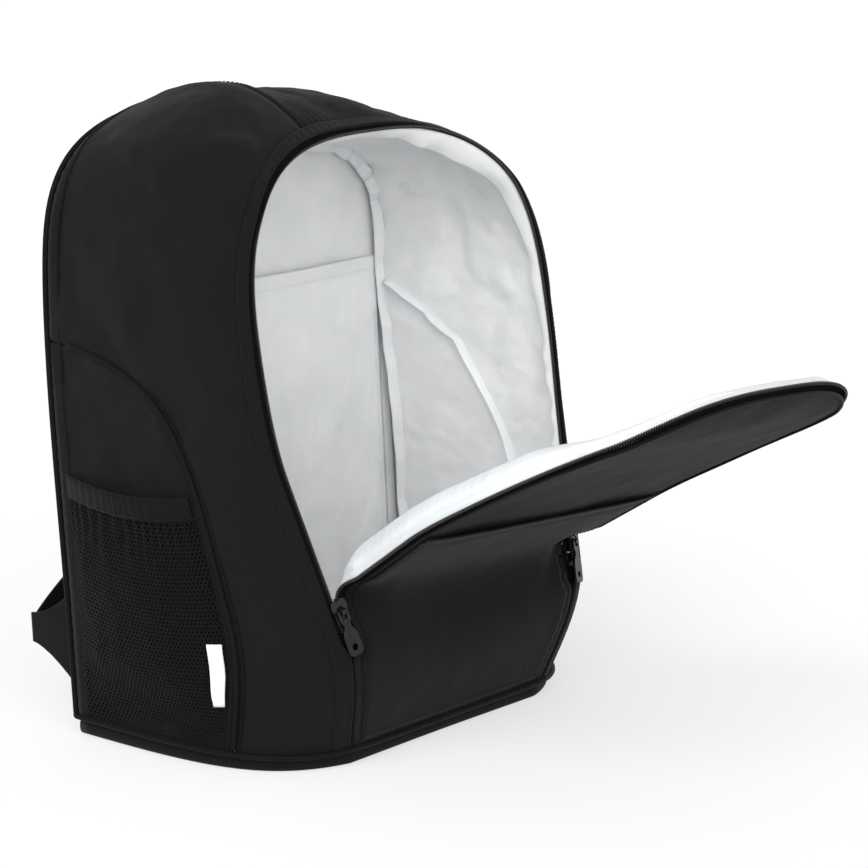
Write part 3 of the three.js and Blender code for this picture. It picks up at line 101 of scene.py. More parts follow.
def zip_half_width(z):
    return 122.5 + ZIP_SPREAD * (z - SLIDER_HEIGHT)


def zip_front(z):
    return -102.6 + ZIP_LEAN * (z - SLIDER_HEIGHT)


SPREAD_KNOTS = np.array([
    [0, 96, 0.3],
    [ZIP_FOOT, zip_half_width(ZIP_FOOT), ZIP_SPREAD],
    [ZIP_HEAD, zip_half_width(ZIP_HEAD), ZIP_SPREAD],
    [OPENING_SHOULDER, OPENING_HALF_WIDTH, 0],
])
FRONT_KNOTS = np.array([
    [0, -90, -0.25],
    [ZIP_FOOT, zip_front(ZIP_FOOT), ZIP_LEAN],
    [ZIP_HEAD, zip_front(ZIP_HEAD), ZIP_LEAN],
    [250, -65.5, 0.19],
    [350, -47.5, 0.18],
    [OPENING_HEIGHT, -29, 0.5],
])
BACK_SHARES = np.array([0, 0.205, 0.604, 0.749, 0.918, 1])
BULGE_SHARES = np.array([0, 0.28, 0.94, 1, 0.78, 0.44])


def mix(a, b, share):
    return a + (b - a) * share


def ease(share):
    x = np.clip(share, 0, 1)
    return x * x * (3 - 2 * x)


def unit(vectors):
    return vectors / np.maximum(np.linalg.norm(vectors, axis=-1, keepdims=True), 1e-12)


def along_knots(knots, at):
    """A smooth line through knots of place, value and slope."""
    at = np.asarray(at, float)
    first = np.clip(np.searchsorted(knots[:, 0], at) - 1, 0, len(knots) - 2)
    a, b = knots[first], knots[first + 1]
    span = b[..., 0] - a[..., 0]
    x = (at - a[..., 0]) / span
    line = mix(a[..., 1], b[..., 1], x * x * (3 - 2 * x))
    return line + span * (x * (1 - x) ** 2 * a[..., 2] + x * x * (x - 1) * b[..., 2])


def bulge_share(height_share):
    """The back's bulge: a cubic through the shares, straight at both ends."""
    x = np.clip(height_share, 0, 1)
    i1 = np.clip(np.searchsorted(BACK_SHARES, x, side="right"), 1, len(BACK_SHARES) - 1)
    i0 = i1 - 1
    before = np.where(i0 > 0, i0 - 1, i1)
    after = np.where(i1 < len(BACK_SHARES) - 1, i1 + 1, i0)
    t0, t1 = BACK_SHARES[i0], BACK_SHARES[i1]
    t_before, t_after = BACK_SHARES[before], BACK_SHARES[after]
    half = (t1 - t0) / 2
    wp, wn = half / (t0 - t_before), half / (t_after - t1)
    p = (x - t0) / (t1 - t0)
    pp, ppp = p * p, p * p * p
    values = BULGE_SHARES
    return (
        (-wp * ppp + 2 * wp * pp - wp * p) * values[before]
        + ((1 + wp) * ppp + (-1.5 - 2 * wp) * pp + (-0.5 + wp) * p + 1) * values[i0]
        + ((-1 - wn) * ppp + (1.5 + wn) * pp + 0.5 * p) * values[i1]
        + (wn * ppp - wn * pp) * values[after]
    )


def front_depth(z):
    return along_knots(FRONT_KNOTS, z)


def back_depth(z):
    return BACK_DEPTH + BACK_BULGE * bulge_share(np.asarray(z, float) / BACK_HEIGHT)


def arch_share(t):
    return np.clip((t - SHOULDER) / (1 - SHOULDER), 0, 1)


def points(x, y, z):
    return np.stack(np.broadcast_arrays(x, y, z), axis=-1).astype(float)


def front_outline(t):
    t = np.asarray(t, float)
    angle, power = arch_share(t) * math.pi / 2, 2 / 2.8
    low = OPENING_SHOULDER * np.minimum(t, SHOULDER) / SHOULDER
    rise = (OPENING_HEIGHT - OPENING_SHOULDER) * np.sin(angle) ** power
    half = OPENING_HALF_WIDTH * np.maximum(np.cos(angle), 0) ** power
    z = np.where(t < SHOULDER, low, OPENING_SHOULDER + rise)
    return points(np.where(t < SHOULDER, along_knots(SPREAD_KNOTS, low), half), front_depth(z), z)


def back_outline(t, inset=0.0):
    t = np.asarray(t, float)
    share = np.minimum(t / SHOULDER, 1)
    angle, power = arch_share(t) * math.pi / 2, 2 / 3.6
    low = BACK_HALF_WIDTH - inset - BACK_SPREAD * (1 - share) ** 2
    rise = (BACK_HEIGHT - inset - BACK_SHOULDER) * np.sin(angle) ** power
    half = (BACK_HALF_WIDTH - inset) * np.maximum(np.cos(angle), 0) ** power
    z = np.where(t < SHOULDER, BACK_SHOULDER * share, BACK_SHOULDER + rise)
    return points(np.where(t < SHOULDER, low, half), back_depth(z), z)


def side_of(u):
    return np.where(np.asarray(u, float) < 0, -1.0, 1.0)


def rim(u):
    """The zip line: u is -1 at the left foot, 0 at the top and 1 at the right foot."""
    place = front_outline(1 - np.abs(u))
    place[..., 0] *= side_of(u)
    return place


def lean_at(z):
    return (front_depth(z + STEP) - front_depth(z - STEP)) / (2 * STEP)


def zip_frame(u):
    u = np.asarray(u, float)
    along = unit(rim(u + STEP) - rim(u - STEP))
    origin = rim(u)
    lean = lean_at(origin[..., 2])
    forward = unit(points(0, -1, lean))
    across = unit(np.cross(along, forward))
    turn = mix(math.radians(15), math.radians(36), arch_share(1 - np.abs(u)))[..., None]
    into = across * np.cos(turn) + forward * np.sin(turn)
    return origin, along, into, unit(np.cross(along, into))


def zip_point(u, across, depth):
    origin, _, into, inner = zip_frame(u)
    return origin + into * np.asarray(across)[..., None] + inner * np.asarray(depth)[..., None]


def settle(place, s):
    """The soft top is full on the left and sunk on the right."""
    x, z = place[..., 0], place[..., 2]
    height_share = ease((z - 250) / 150)
    middle = np.sin(math.pi * np.clip(s, 0, 1)) ** 0.7
    back = (1 - np.clip(s, 0, 1)) ** 0.8
    rise = 18.9 * ease((-x - 10) / 90) * middle
    fall = 27 * ease(x / 82.5) * mix(middle, back, 0.72)
    place = place.copy()
    place[..., 2] += height_share * (rise - fall)
    return place


def skin(u, s):
    """The bag's wall from the back edge (s = 0) to the zip (s = 1)."""
    u, s = np.broadcast_arrays(np.asarray(u, float), np.asarray(s, float))
    side, t = side_of(u), 1 - np.abs(u)
    arch = arch_share(t)
    back, front = back_outline(t), rim(u)
    depth = back[..., 1] - front[..., 1]
    outward = (back[..., 0] - np.abs(front[..., 0])) * 1.02
    backward = depth * mix(0.06, 0.3, arch)
    upward = (back[..., 2] - front[..., 2]) * 0.9 + 4 * arch
    reach = np.sqrt(outward ** 2 + backward ** 2 + upward ** 2)
    back[..., 0] *= side
    pull = points(side * 4 * (1 - arch), -depth * 0.62, 12 * arch)
    _, along, into, _ = zip_frame(u)
    level = along[..., 2:] * np.maximum(into[..., 2:], 0)
    arrive = unit(into - along * level)
    third = front - arrive * reach[..., None]
    s1, s2 = s[..., None], 1 - s[..., None]
    place = (
        back * s2 ** 3 + 3 * (back + pull) * s2 * s2 * s1
        + 3 * third * s2 * s1 * s1 + front * s1 ** 3
    )
    return settle(place, s)


def wall(u, s, out=0.0):
    """A point off the wall, out millimetres outside it."""
    along = skin(u + STEP, s) - skin(u - STEP, s)
    across = skin(u, s + STEP) - skin(u, s - STEP)
    normal = unit(np.cross(along, across))
    return skin(u, s) - normal * np.asarray(out, float)[..., None]


def behind_zip(u, distances):
    """Wall shares at the given distances behind the zip, one row of them for each u."""
    s = np.linspace(1, 0, 160)
    line = skin(np.asarray(u, float)[:, None], s[None, :])
    steps = np.linalg.norm(np.diff(line, axis=1), axis=-1)
    run = np.concatenate([np.zeros((len(line), 1)), np.cumsum(steps, axis=1)], axis=1)
    distances = np.atleast_1d(np.asarray(distances, float))
    wanted = np.broadcast_to(distances, (len(line), distances.shape[-1]))
    return np.array([np.interp(want, row, s) for want, row in zip(wanted, run)])


def share_at(z):
    return SHOULDER * np.asarray(z, float) / OPENING_SHOULDER


def contour_share(t):
    height = np.minimum(OPENING_SHOULDER * t / SHOULDER / CONTOUR_HEIGHT, 1)
    return (0.46 + 0.075 * (1 - height) ** 1.5) * np.sqrt(np.maximum(1 - height ** 9, 0))


def front_point(x, z, depth):
    """A point on the bag's front, depth millimetres inside it."""
    inner = unit(points(0, 1, -lean_at(z)))
    return points(x, front_depth(z), z) + inner * np.asarray(depth, float)[..., None]


def turned_way(ways, angle):
    """Directions turned about the flap's hinge line; a positive angle opens the flap."""
    angle = np.asarray(angle, float)[..., None]
    level = (ways @ HINGE_AXIS)[..., None] * HINGE_AXIS
    return ways * np.cos(angle) + np.cross(HINGE_AXIS, ways) * np.sin(angle) + level * (1 - np.cos(angle))


def turned(place, angle):
    return HINGE + turned_way(place - HINGE, angle)


# The cloth over the fold turns with the flap by a share that grows along this line
FOLD_START = np.array([0, -105.0, 91.0])
FOLD_END = np.array([1.3, -120.0, 132.0])


def fold_weight(place):
    line = FOLD_END - FOLD_START
    return ease(((place - FOLD_START) @ line) / (line @ line))


def fold_angle(face):
    """How far points of the closed lid's face turn, so that the fold's own line agrees with it."""
    weight = ease((face[..., 2] - 92) / 49)
    for _ in range(90):
        weight = mix(weight, fold_weight(turned(face, OPEN_ANGLE * weight)), 0.35)
    return OPEN_ANGLE * weight


def folded(closed, face=None):
    """Takes cloth from the closed lid to the open one; the layers over one spot turn alike."""
    return turned(closed, fold_angle(closed if face is None else face))


def slackened(place, closed, rounds):
    """Rounds off the hollow of the open fold, as slack cloth does, but not at the side edges."""
    across = lengths(closed, 1)
    edge = np.minimum(across, across[:, -1:] - across)
    near = np.exp(-((closed[..., 2] - 116) / 30) ** 4) * ease(edge / 30)
    place = place.copy()
    for _ in range(rounds):
        step = (place[:-2] + place[2:]) / 2 - place[1:-1]
        place[1:-1] += step * (near[1:-1, :, None] * 0.9)
    return place


def mesh_depth(row, share):
    fullness = ease(row / 0.4) * mix(1, 0.75, ease((row - 0.6) / 0.4))
    return WALL / 2 + 0.5 + 16 * fullness * np.sin(math.pi * np.clip(share, 0, 1)) ** 0.7


def mesh_top(share):
    return mix(152, 158.5, share) - 3.5 * np.sin(math.pi * np.clip(share, 0, 1))


def mesh_point(side, z, row, share, out):
    t = share_at(z)
    s = mix(0.03, contour_share(t) - 0.03, share)
    return wall(side * (1 - t), s, mesh_depth(row, share) + out)


def back_point(t, share, depth, inset):
    """A point off the back, depth millimetres towards the inside; share runs from right to left."""
    edge = back_outline(t, inset)
    lean = (back_depth(edge[..., 2] + STEP) - back_depth(edge[..., 2] - STEP)) / (2 * STEP)
    half = np.maximum(edge[..., 0], 0)
    share = np.asarray(share, float)
    place = settle(points(half * (1 - 2 * share), edge[..., 1], edge[..., 2]), 0 * share)
    return place + unit(points(0, -1, lean)) * np.asarray(depth, float)[..., None]


def on_back(x, z, stand):
    return points(x, back_depth(z) + stand, z)


# Cloth made from rows of points

MM = 0.001
RANDOM = np.random.default_rng(23)


def lengths(place, axis):
    """Length of cloth along a grid, in millimetres."""
    steps = np.linalg.norm(np.diff(place, axis=axis), axis=-1)
    first = np.zeros_like(np.take(steps, [0], axis=axis))
    return np.concatenate([first, np.cumsum(steps, axis=axis)], axis=axis)


def ripple(place, size, seed=0.0, octaves=3):
    """Soft random waves, about -1 to 1, of the given size in millimetres."""
    flat = place.reshape(-1, 3) / size + seed
    waves = [noise.fractal(Vector(spot), 0.9, 2.0, octaves) for spot in flat]
    return np.array(waves).reshape(place.shape[:-1])


def folds(place, lines):
    """Height of soft folds, each from one point to another with its width and rise."""
    height = np.zeros(place.shape[:-1])
    for start, end, width, rise in lines:
        a, b = np.array(start, float), np.array(end, float)
        line = b - a
        share = np.clip(((place - a) @ line) / (line @ line), 0, 1)
        reach = np.linalg.norm(place - (a + share[..., None] * line), axis=-1)
        height += rise * np.exp(-(reach / width) ** 2)
    return height


def pucker(distance, run, seed, pitch=8.0, rise=0.35, width=9.0):
    """Small gathers beside a seam: distance from the seam, run along it."""
    phase = np.interp(run, np.arange(0, 2000, 25.0), np.random.default_rng(seed).normal(0, 1.6, 80))
    return rise * np.exp(-distance / width) * np.sin(2 * math.pi * run / pitch + phase)


def dress(obj, material, body, node_slot, *nodes):
    """Gives a piece its finish, its body and the nodes that it stands for."""
    obj.data.materials.clear()
    obj.data.materials.append(finish(material))
    obj.data.polygons.foreach_set("use_smooth", [True] * len(obj.data.polygons))
    if body:
        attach(obj, body)
    if nodes:
        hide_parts(*nodes)
    return obj


def linked(name, mesh):
    obj = bpy.data.objects.new(name, mesh)
    bpy.context.scene.collection.objects.link(obj)
    return obj


def grid_of(name, place, outside=None):
    """A mesh grid through rows of points, with UVs in metres of cloth.

    Its faces look away from the point given as outside.
    """
    rows, columns = place.shape[:2]
    bm = bmesh.new()
    bmesh.ops.create_grid(bm, x_segments=columns - 1, y_segments=rows - 1, size=1)
    mesh = bpy.data.meshes.new(name)
    bm.to_mesh(mesh)
    bm.free()
    mesh.vertices.foreach_set("co", (place * MM).ravel())
    across, along = lengths(place, 1), lengths(place, 0)
    across = across - across[:, [columns // 2]]
    along = np.broadcast_to(along[:, [columns // 2]], across.shape)
    corners = np.empty(len(mesh.loops), int)
    mesh.loops.foreach_get("vertex_index", corners)
    sheet_uv = np.stack([across, along], axis=-1).reshape(-1, 2) * MM
    mesh.uv_layers.new(name="Cloth").uv.foreach_set("vector", sheet_uv[corners].ravel())
    mesh.update()
    if outside is not None:
        centres = np.empty(len(mesh.polygons) * 3)
        normals = np.empty(len(mesh.polygons) * 3)
        mesh.polygons.foreach_get("center", centres)
        mesh.polygons.foreach_get("normal", normals)
        away = centres.reshape(-1, 3) - np.array(outside) * MM
        if (away * normals.reshape(-1, 3)).sum() < 0:
            mesh.flip_normals()
    return mesh


def cloth(name, place, material, body, node_slot, *nodes, thick=1.0, outside=(0, 20, 200)):
    obj = linked(name, grid_of(name, place, outside))
    dress(obj, material, body, node_slot, *nodes)
    if thick:
        solid = obj.modifiers.new("Thickness", "SOLIDIFY")
        solid.thickness = thick * MM
        solid.offset = -1
        solid.use_even_offset = False
    return obj


def closed_round(mesh, caps=True):
    """Joins the two long edges of a rolled grid, and closes its ends."""
    bm = bmesh.new()
    bm.from_mesh(mesh)
    bmesh.ops.remove_doubles(bm, verts=bm.verts, dist=1e-7)
    if caps:
        bmesh.ops.holes_fill(bm, edges=[edge for edge in bm.edges if edge.is_boundary], sides=0)
    bmesh.ops.recalc_face_normals(bm, faces=bm.faces)
    bm.to_mesh(mesh)
    bm.free()
    return mesh


def frames_along(path, up=None):
    """Two directions square to a path at each of its points, turning as little as possible."""
    tangent = unit(np.gradient(path, axis=0))
    first = np.array(up if up is not None else (0, 0, 1), float)
    side = np.empty_like(path)
    for i, line in enumerate(tangent):
        first = first - line * (first @ line)
        first /= max(np.linalg.norm(first), 1e-9)
        side[i] = first
    return side, np.cross(tangent, side)


def resampled(path, pitch):
    """Points at an even pitch along a path."""
    run = lengths(path, 0)
    count = max(int(round(run[-1] / pitch)), 1)
    at = np.linspace(0, run[-1], count + 1)
    return np.stack([np.interp(at, run, path[:, k]) for k in range(3)], axis=-1)


def smooth_path(path, pitch):
    """A rounded line through the points, by Chaikin's corner cutting, then resampled."""
    for _ in range(3):
        cut = np.repeat(path, 2, axis=0)[1:-1]
        path = np.concatenate([path[:1], cut * 0.75 + np.roll(cut.reshape(-1, 2, 3), 1, 1).reshape(-1, 3) * 0.25, path[-1:]])
    return resampled(path, pitch)


def tube(name, path, radius, material, body, node_slot, *nodes, sides=10, flat=1.0, up=None, loop=False):
    side, other = frames_along(path, up)
    angle = np.linspace(0, 2 * math.pi, sides + 1)
    radius = np.broadcast_to(radius, (len(path),))[:, None, None]
    ring = side[:, None] * np.cos(angle)[None, :, None] + other[:, None] * flat * np.sin(angle)[None, :, None]
    place = path[:, None] + ring * radius
    if loop:
        place[-1] = place[0]
    place[:, -1] = place[:, 0]
    mesh = closed_round(grid_of(name, place), caps=not loop)
    return dress(linked(name, mesh), material, body, node_slot, *nodes)


def loft(name, rings, material, body, node_slot, *nodes):
    """A closed body through rings of points."""
    place = np.concatenate([rings, rings[:, :1]], axis=1)
    mesh = closed_round(grid_of(name, place))
    return dress(linked(name, mesh), material, body, node_slot, *nodes)


def scattered(name, template, matrices, material, body, node_slot, *nodes):
    """One mesh of many like pieces, each set by its own matrix in millimetres."""
    bm = bmesh.new()
    shape = np.empty(len(template.vertices) * 3)
    template.vertices.foreach_get("co", shape)
    for matrix in matrices:
        template.transform(matrix)
        bm.from_mesh(template)
        template.vertices.foreach_set("co", shape)
    bmesh.ops.scale(bm, vec=(MM, MM, MM), verts=bm.verts)
    mesh = bpy.data.meshes.new(name)
    bm.to_mesh(mesh)
    bm.free()
    return dress(linked(name, mesh), material, body, node_slot, *nodes)


def placed(origin, x, y, z):
    """A matrix from an origin and three directions."""
    matrix = Matrix([[*row] for row in np.stack([x, y, z, origin], axis=-1)]).to_4x4()
    return matrix


def bead(name, long, wide, high, u=6, v=4):
    """A small rounded bead, long in x."""
    bm = bmesh.new()
    bmesh.ops.create_uvsphere(bm, u_segments=u, v_segments=v, radius=0.5)
    bmesh.ops.rotate(bm, matrix=Matrix.Rotation(math.pi / 2, 3, "Y"), verts=bm.verts)
    bmesh.ops.scale(bm, vec=(long, wide, high), verts=bm.verts)
    mesh = bpy.data.meshes.new(name)
    bm.to_mesh(mesh)
    bm.free()
    return mesh


def stitched(name, lines, normals, body, node_slot, material="thread"):
    """Rows of sewn stitches, half sunk into the cloth."""
    looks = bpy.context.scene.bag_looks
    pitch = looks.stitch / MM
    stitch = bead(name + "_one", pitch * 0.74, 0.55, 0.5)
    matrices = []
    for line, normal in zip(lines, normals):
        run = lengths(line, 0)
        at = np.arange(pitch / 2, run[-1], pitch)
        spots = np.stack([np.interp(at, run, line[:, k]) for k in range(3)], axis=-1)
        faces = unit(np.stack([np.interp(at, run, normal[:, k]) for k in range(3)], axis=-1))
        ahead = np.stack([np.interp(at + 0.2, run, line[:, k]) for k in range(3)], axis=-1)
        behind = np.stack([np.interp(at - 0.2, run, line[:, k]) for k in range(3)], axis=-1)
        way = unit(ahead - behind)
        for spot, face, run_way in zip(spots, faces, way):
            side = np.cross(face, run_way)
            side /= max(np.linalg.norm(side), 1e-9)
            matrices.append(placed(spot, run_way, side, np.cross(run_way, side)))
    obj = scattered(name, stitch, matrices, material, body, node_slot)
    bpy.data.meshes.remove(stitch)
    return obj


# Finishes


def node(tree, kind, values=(), **settings):
    made = tree.nodes.new(kind)
    for key, value in settings.items():
        setattr(made, key, value)
    for key, value in dict(values).items():
        if isinstance(value, bpy.types.NodeSocket):
            tree.links.new(value, made.inputs[key])
        else:
            made.inputs[key].default_value = value
    return made


def maths(tree, operation, a, b=0.0):
    return node(tree, "ShaderNodeMath", {0: a, 1: b}, operation=operation).outputs[0]


def fit(tree, value, low, high, to_low, to_high):
    values = {"Value": value, "From Min": low, "From Max": high, "To Min": to_low, "To Max": to_high}
    return node(tree, "ShaderNodeMapRange", values).outputs["Result"]


def rib(tree, value, pitch):
    """Rounded ribs, 0 to 1, across a length in metres."""
    turn = maths(tree, "MULTIPLY", value, math.pi / pitch)
    return maths(tree, "ABSOLUTE", maths(tree, "SINE", turn))


def plain_weave(tree, x, y, pitch):
    over = maths(tree, "MULTIPLY", maths(tree, "COSINE", maths(tree, "MULTIPLY", x, math.pi / pitch)),
                 maths(tree, "COSINE", maths(tree, "MULTIPLY", y, math.pi / pitch)))
    warp = maths(tree, "MULTIPLY", rib(tree, x, pitch), fit(tree, over, -0.3, 0.3, 0.35, 1))
    weft = maths(tree, "MULTIPLY", rib(tree, y, pitch), fit(tree, over, -0.3, 0.3, 1, 0.35))
    return maths(tree, "MAXIMUM", warp, weft)


def twill_weave(tree, x, y, pitch):
    slant = maths(tree, "ADD", x, maths(tree, "MULTIPLY", y, 0.35))
    fine = rib(tree, y, pitch * 0.5)
    return maths(tree, "ADD", maths(tree, "MULTIPLY", rib(tree, slant, pitch), 0.75), maths(tree, "MULTIPLY", fine, 0.25))


def ribbed_weave(tree, x, y, pitch):
    fine = rib(tree, x, pitch * 0.4)
    return maths(tree, "ADD", maths(tree, "MULTIPLY", rib(tree, y, pitch), 0.8), maths(tree, "MULTIPLY", fine, 0.2))


def spacer_net(tree, x, y, pitch):
    spot = node(tree, "ShaderNodeCombineXYZ", {"X": x, "Y": y}).outputs[0]
    cells = node(tree, "ShaderNodeTexVoronoi", {"Vector": spot, "Scale": 1 / pitch, "Randomness": 0.15})
    return fit(tree, cells.outputs["Distance"], 0.15, 0.55, 0, 1)


WEAVES = {"plain": plain_weave, "twill": twill_weave, "rib": ribbed_weave, "air": spacer_net}


def shader(name, colour, roughness):
    material = bpy.data.materials.new(name)
    material.use_nodes = True
    tree = material.node_tree
    surface = tree.nodes["Principled BSDF"]
    surface.inputs["Base Color"].default_value = (*colour, 1)
    surface.inputs["Roughness"].default_value = roughness
    return material, tree, surface


def coloured(tree, surface, colour, shade):
    """Darkens and lightens the base colour by a shade from 0 to 1."""
    low = tuple(part * 0.6 for part in colour)
    high = tuple(min(part * 1.35, 1) for part in colour)
    blend = node(tree, "ShaderNodeMix", {0: shade, 6: (*low, 1), 7: (*high, 1)}, data_type="RGBA")
    tree.links.new(blend.outputs[2], surface.inputs["Base Color"])


def cloth_finish(name, colour, weave, pitch, roughness, sheen, relief, crinkle=0.0, glint=0.05):
    """Woven cloth: threads over and under, uneven dye, a soft sheen and small crinkles."""
    material, tree, surface = shader(name, colour, roughness)
    cut = node(tree, "ShaderNodeUVMap", uv_map="Cloth").outputs["UV"]
    split = node(tree, "ShaderNodeSeparateXYZ", {"Vector": cut})
    threads = WEAVES[weave](tree, split.outputs["X"], split.outputs["Y"], pitch)
    place = node(tree, "ShaderNodeTexCoord").outputs["Object"]
    dye = node(tree, "ShaderNodeTexNoise", {"Vector": place, "Scale": 28.0, "Detail": 5.0}).outputs["Fac"]
    fuzz = node(tree, "ShaderNodeTexNoise", {"Vector": place, "Scale": 1400.0, "Detail": 2.0}).outputs["Fac"]
    shade = maths(tree, "ADD", maths(tree, "MULTIPLY", threads, 0.45), maths(tree, "MULTIPLY", dye, 0.4))
    shade = maths(tree, "ADD", shade, maths(tree, "MULTIPLY", fuzz, 0.15))
    coloured(tree, surface, colour, shade)
    gloss = maths(tree, "ADD", maths(tree, "MULTIPLY", dye, 0.16), maths(tree, "MULTIPLY", fuzz, 0.1))
    tree.links.new(maths(tree, "ADD", gloss, roughness - 0.13), surface.inputs["Roughness"])
    surface.inputs["Sheen Weight"].default_value = sheen
    surface.inputs["Sheen Roughness"].default_value = 0.45
    surface.inputs["Specular IOR Level"].default_value = glint
    height = maths(tree, "ADD", threads, maths(tree, "MULTIPLY", fuzz, 0.5))
    bump = node(tree, "ShaderNodeBump", {"Height": height, "Strength": 0.8, "Distance": relief})
    if crinkle:
        wave = node(tree, "ShaderNodeTexNoise", {"Vector": place, "Scale": 70.0, "Detail": 6.0, "Distortion": 0.6})
        soft = node(tree, "ShaderNodeBump", {"Height": wave.outputs["Fac"], "Strength": 0.7, "Distance": crinkle,
                                              "Normal": bump.outputs["Normal"]})
        bump = soft
    tree.links.new(bump.outputs["Normal"], surface.inputs["Normal"])
    return material


def hard_finish(name, colour, roughness, metallic, grain, coat=0.0):
    """Painted metal or moulded plastic: fine grain, uneven gloss and edges rubbed a little bright."""
    material, tree, surface = shader(name, colour, roughness)
    place = node(tree, "ShaderNodeTexCoord").outputs["Object"]
    fine = node(tree, "ShaderNodeTexNoise", {"Vector": place, "Scale": grain, "Detail": 4.0}).outputs["Fac"]
    wide = node(tree, "ShaderNodeTexNoise", {"Vector": place, "Scale": 160.0, "Detail": 3.0}).outputs["Fac"]
    edge = node(tree, "ShaderNodeNewGeometry").outputs["Pointiness"]
    worn = maths(tree, "MULTIPLY", fit(tree, edge, 0.53, 0.62, 0, 1), wide)
    coloured(tree, surface, colour, maths(tree, "ADD", maths(tree, "MULTIPLY", wide, 0.7), worn))
    gloss = fit(tree, wide, 0.3, 0.7, roughness - 0.07, roughness + 0.09)
    tree.links.new(gloss, surface.inputs["Roughness"])
    surface.inputs["Metallic"].default_value = metallic
    surface.inputs["Coat Weight"].default_value = coat
    bump = node(tree, "ShaderNodeBump", {"Height": fine, "Strength": 0.35, "Distance": 0.00006})
    tree.links.new(bump.outputs["Normal"], surface.inputs["Normal"])
    return material


def finish(name):
    """The material of that name, made the first time it is asked for."""
    full = "bag_" + name
    if full in bpy.data.materials:
        return bpy.data.materials[full]
    looks = bpy.context.scene.bag_looks
    cloth_black, black, white = tuple(looks.cloth), tuple(looks.trim), tuple(looks.lining)
    weave = looks.weave
    makers = {
        "fabric": lambda: cloth_finish(full, cloth_black, "plain", weave, 0.72, 0.06, 0.00014, 0.0005),
        # The ribbed twill takes the trim's darker black: painted shade that keeps the lid's outer face, which catches
        # light off the bright floor, from showing lighter. The top panel and the yoke share it.
        "twill": lambda: cloth_finish(full, black, "twill", weave * 1.5, 0.66, 0.02, 0.0002, 0.0004),
        "trim": lambda: cloth_finish(full, black, "rib", weave * 1.4, 0.6, 0.02, 0.00022),
        "piping": lambda: cloth_finish(full, black, "plain", weave * 0.7, 0.55, 0.02, 0.0001),
        "elastic": lambda: cloth_finish(full, black, "rib", weave * 1.7, 0.66, 0.06, 0.0002),
        "net": lambda: cloth_finish(full, black, "plain", weave * 0.4, 0.7, 0.04, 0.00008),
        "air": lambda: cloth_finish(full, cloth_black, "air", weave * 3.4, 0.8, 0.04, 0.0006),
        "lining": lambda: cloth_finish(full, white, "plain", weave * 0.6, 0.42, 0.1, 0.00006, 0.0011),
        # The padded side takes the darker padding colour: the lining's white with painted shade, against the strong
        # light that falls on it.
        "padding": lambda: cloth_finish(full, tuple(looks.padding), "plain", weave * 0.6, 0.5, 0.06, 0.00006, 0.0009),
        "binding": lambda: cloth_finish(full, white, "rib", weave * 0.8, 0.5, 0.1, 0.00012, 0.0005),
        # The bare tab's white is darkened with the same painted shade.
        "label": lambda: cloth_finish(full, tuple(looks.padding), "twill", weave * 0.5, 0.38, 0.15, 0.00005),
        "thread": lambda: cloth_finish(full, black, "twill", weave * 0.5, 0.55, 0.06, 0.00008),
        "white_thread": lambda: cloth_finish(full, white, "twill", weave * 0.5, 0.5, 0.2, 0.00008),
        "tape": lambda: cloth_finish(full, black, "rib", weave * 0.9, 0.75, 0.0, 0.00014, glint=0.0),
        "teeth": lambda: hard_finish(full, black, 0.34, 0.0, 1500.0, 0.1),
        "metal": lambda: hard_finish(full, tuple(looks.metal), 0.34, 0.75, 2600.0, 0.25),
        "plastic": lambda: hard_finish(full, black, 0.42, 0.0, 1900.0),
    }
    return makers[name]()


class BagLooks(bpy.types.PropertyGroup):
    """Colours and fine sizes of the bag's cloth, net, zip and stitching."""

    cloth: bpy.props.FloatVectorProperty(
        name="Cloth", description="Colour of the outer cloth", subtype="COLOR", default=(0.0068, 0.0067, 0.0064))
    # Trim: its darker black also colours the ribbed twill, as painted shade on the lid's outer face.
    trim: bpy.props.FloatVectorProperty(
        name="Trim", description="Colour of piping, webbing, net and zip", subtype="COLOR",
        default=(0.0052, 0.0052, 0.0051))
    lining: bpy.props.FloatVectorProperty(
        name="Lining", description="Colour of the lining and the bare tab", subtype="COLOR",
        default=(0.87, 0.9, 0.93))
    # Padding: the lining's white made darker as painted shade, so that the brightly lit padded side of the lid and the
    # bare tab, both white cloth, stay below full white.
    padding: bpy.props.FloatVectorProperty(
        name="Padding", description="Colour of the lid's padded side", subtype="COLOR",
        default=(0.71, 0.735, 0.775))
    metal: bpy.props.FloatVectorProperty(
        name="Metal", description="Colour of the painted sliders and pullers", subtype="COLOR",
        default=(0.013, 0.013, 0.0135))
    weave: bpy.props.FloatProperty(
        name="Weave", description="Distance between threads of the outer cloth", default=0.0009,
        precision=5, unit="LENGTH")
    stitch: bpy.props.FloatProperty(
        name="Stitch", description="Length of one stitch", default=0.0032, precision=5, unit="LENGTH")
    tooth: bpy.props.FloatProperty(
        name="Tooth", description="Distance between the zip's teeth", default=0.0017, precision=5, unit="LENGTH")
    net_cell: bpy.props.FloatProperty(
        name="Net cell", description="Width of one cell of the side pockets' net", default=0.0031,
        precision=5, unit="LENGTH")
    crease: bpy.props.FloatProperty(
        name="Creases", description="How deep the cloth's folds are", default=1.0, min=0, max=2,
        subtype="FACTOR")


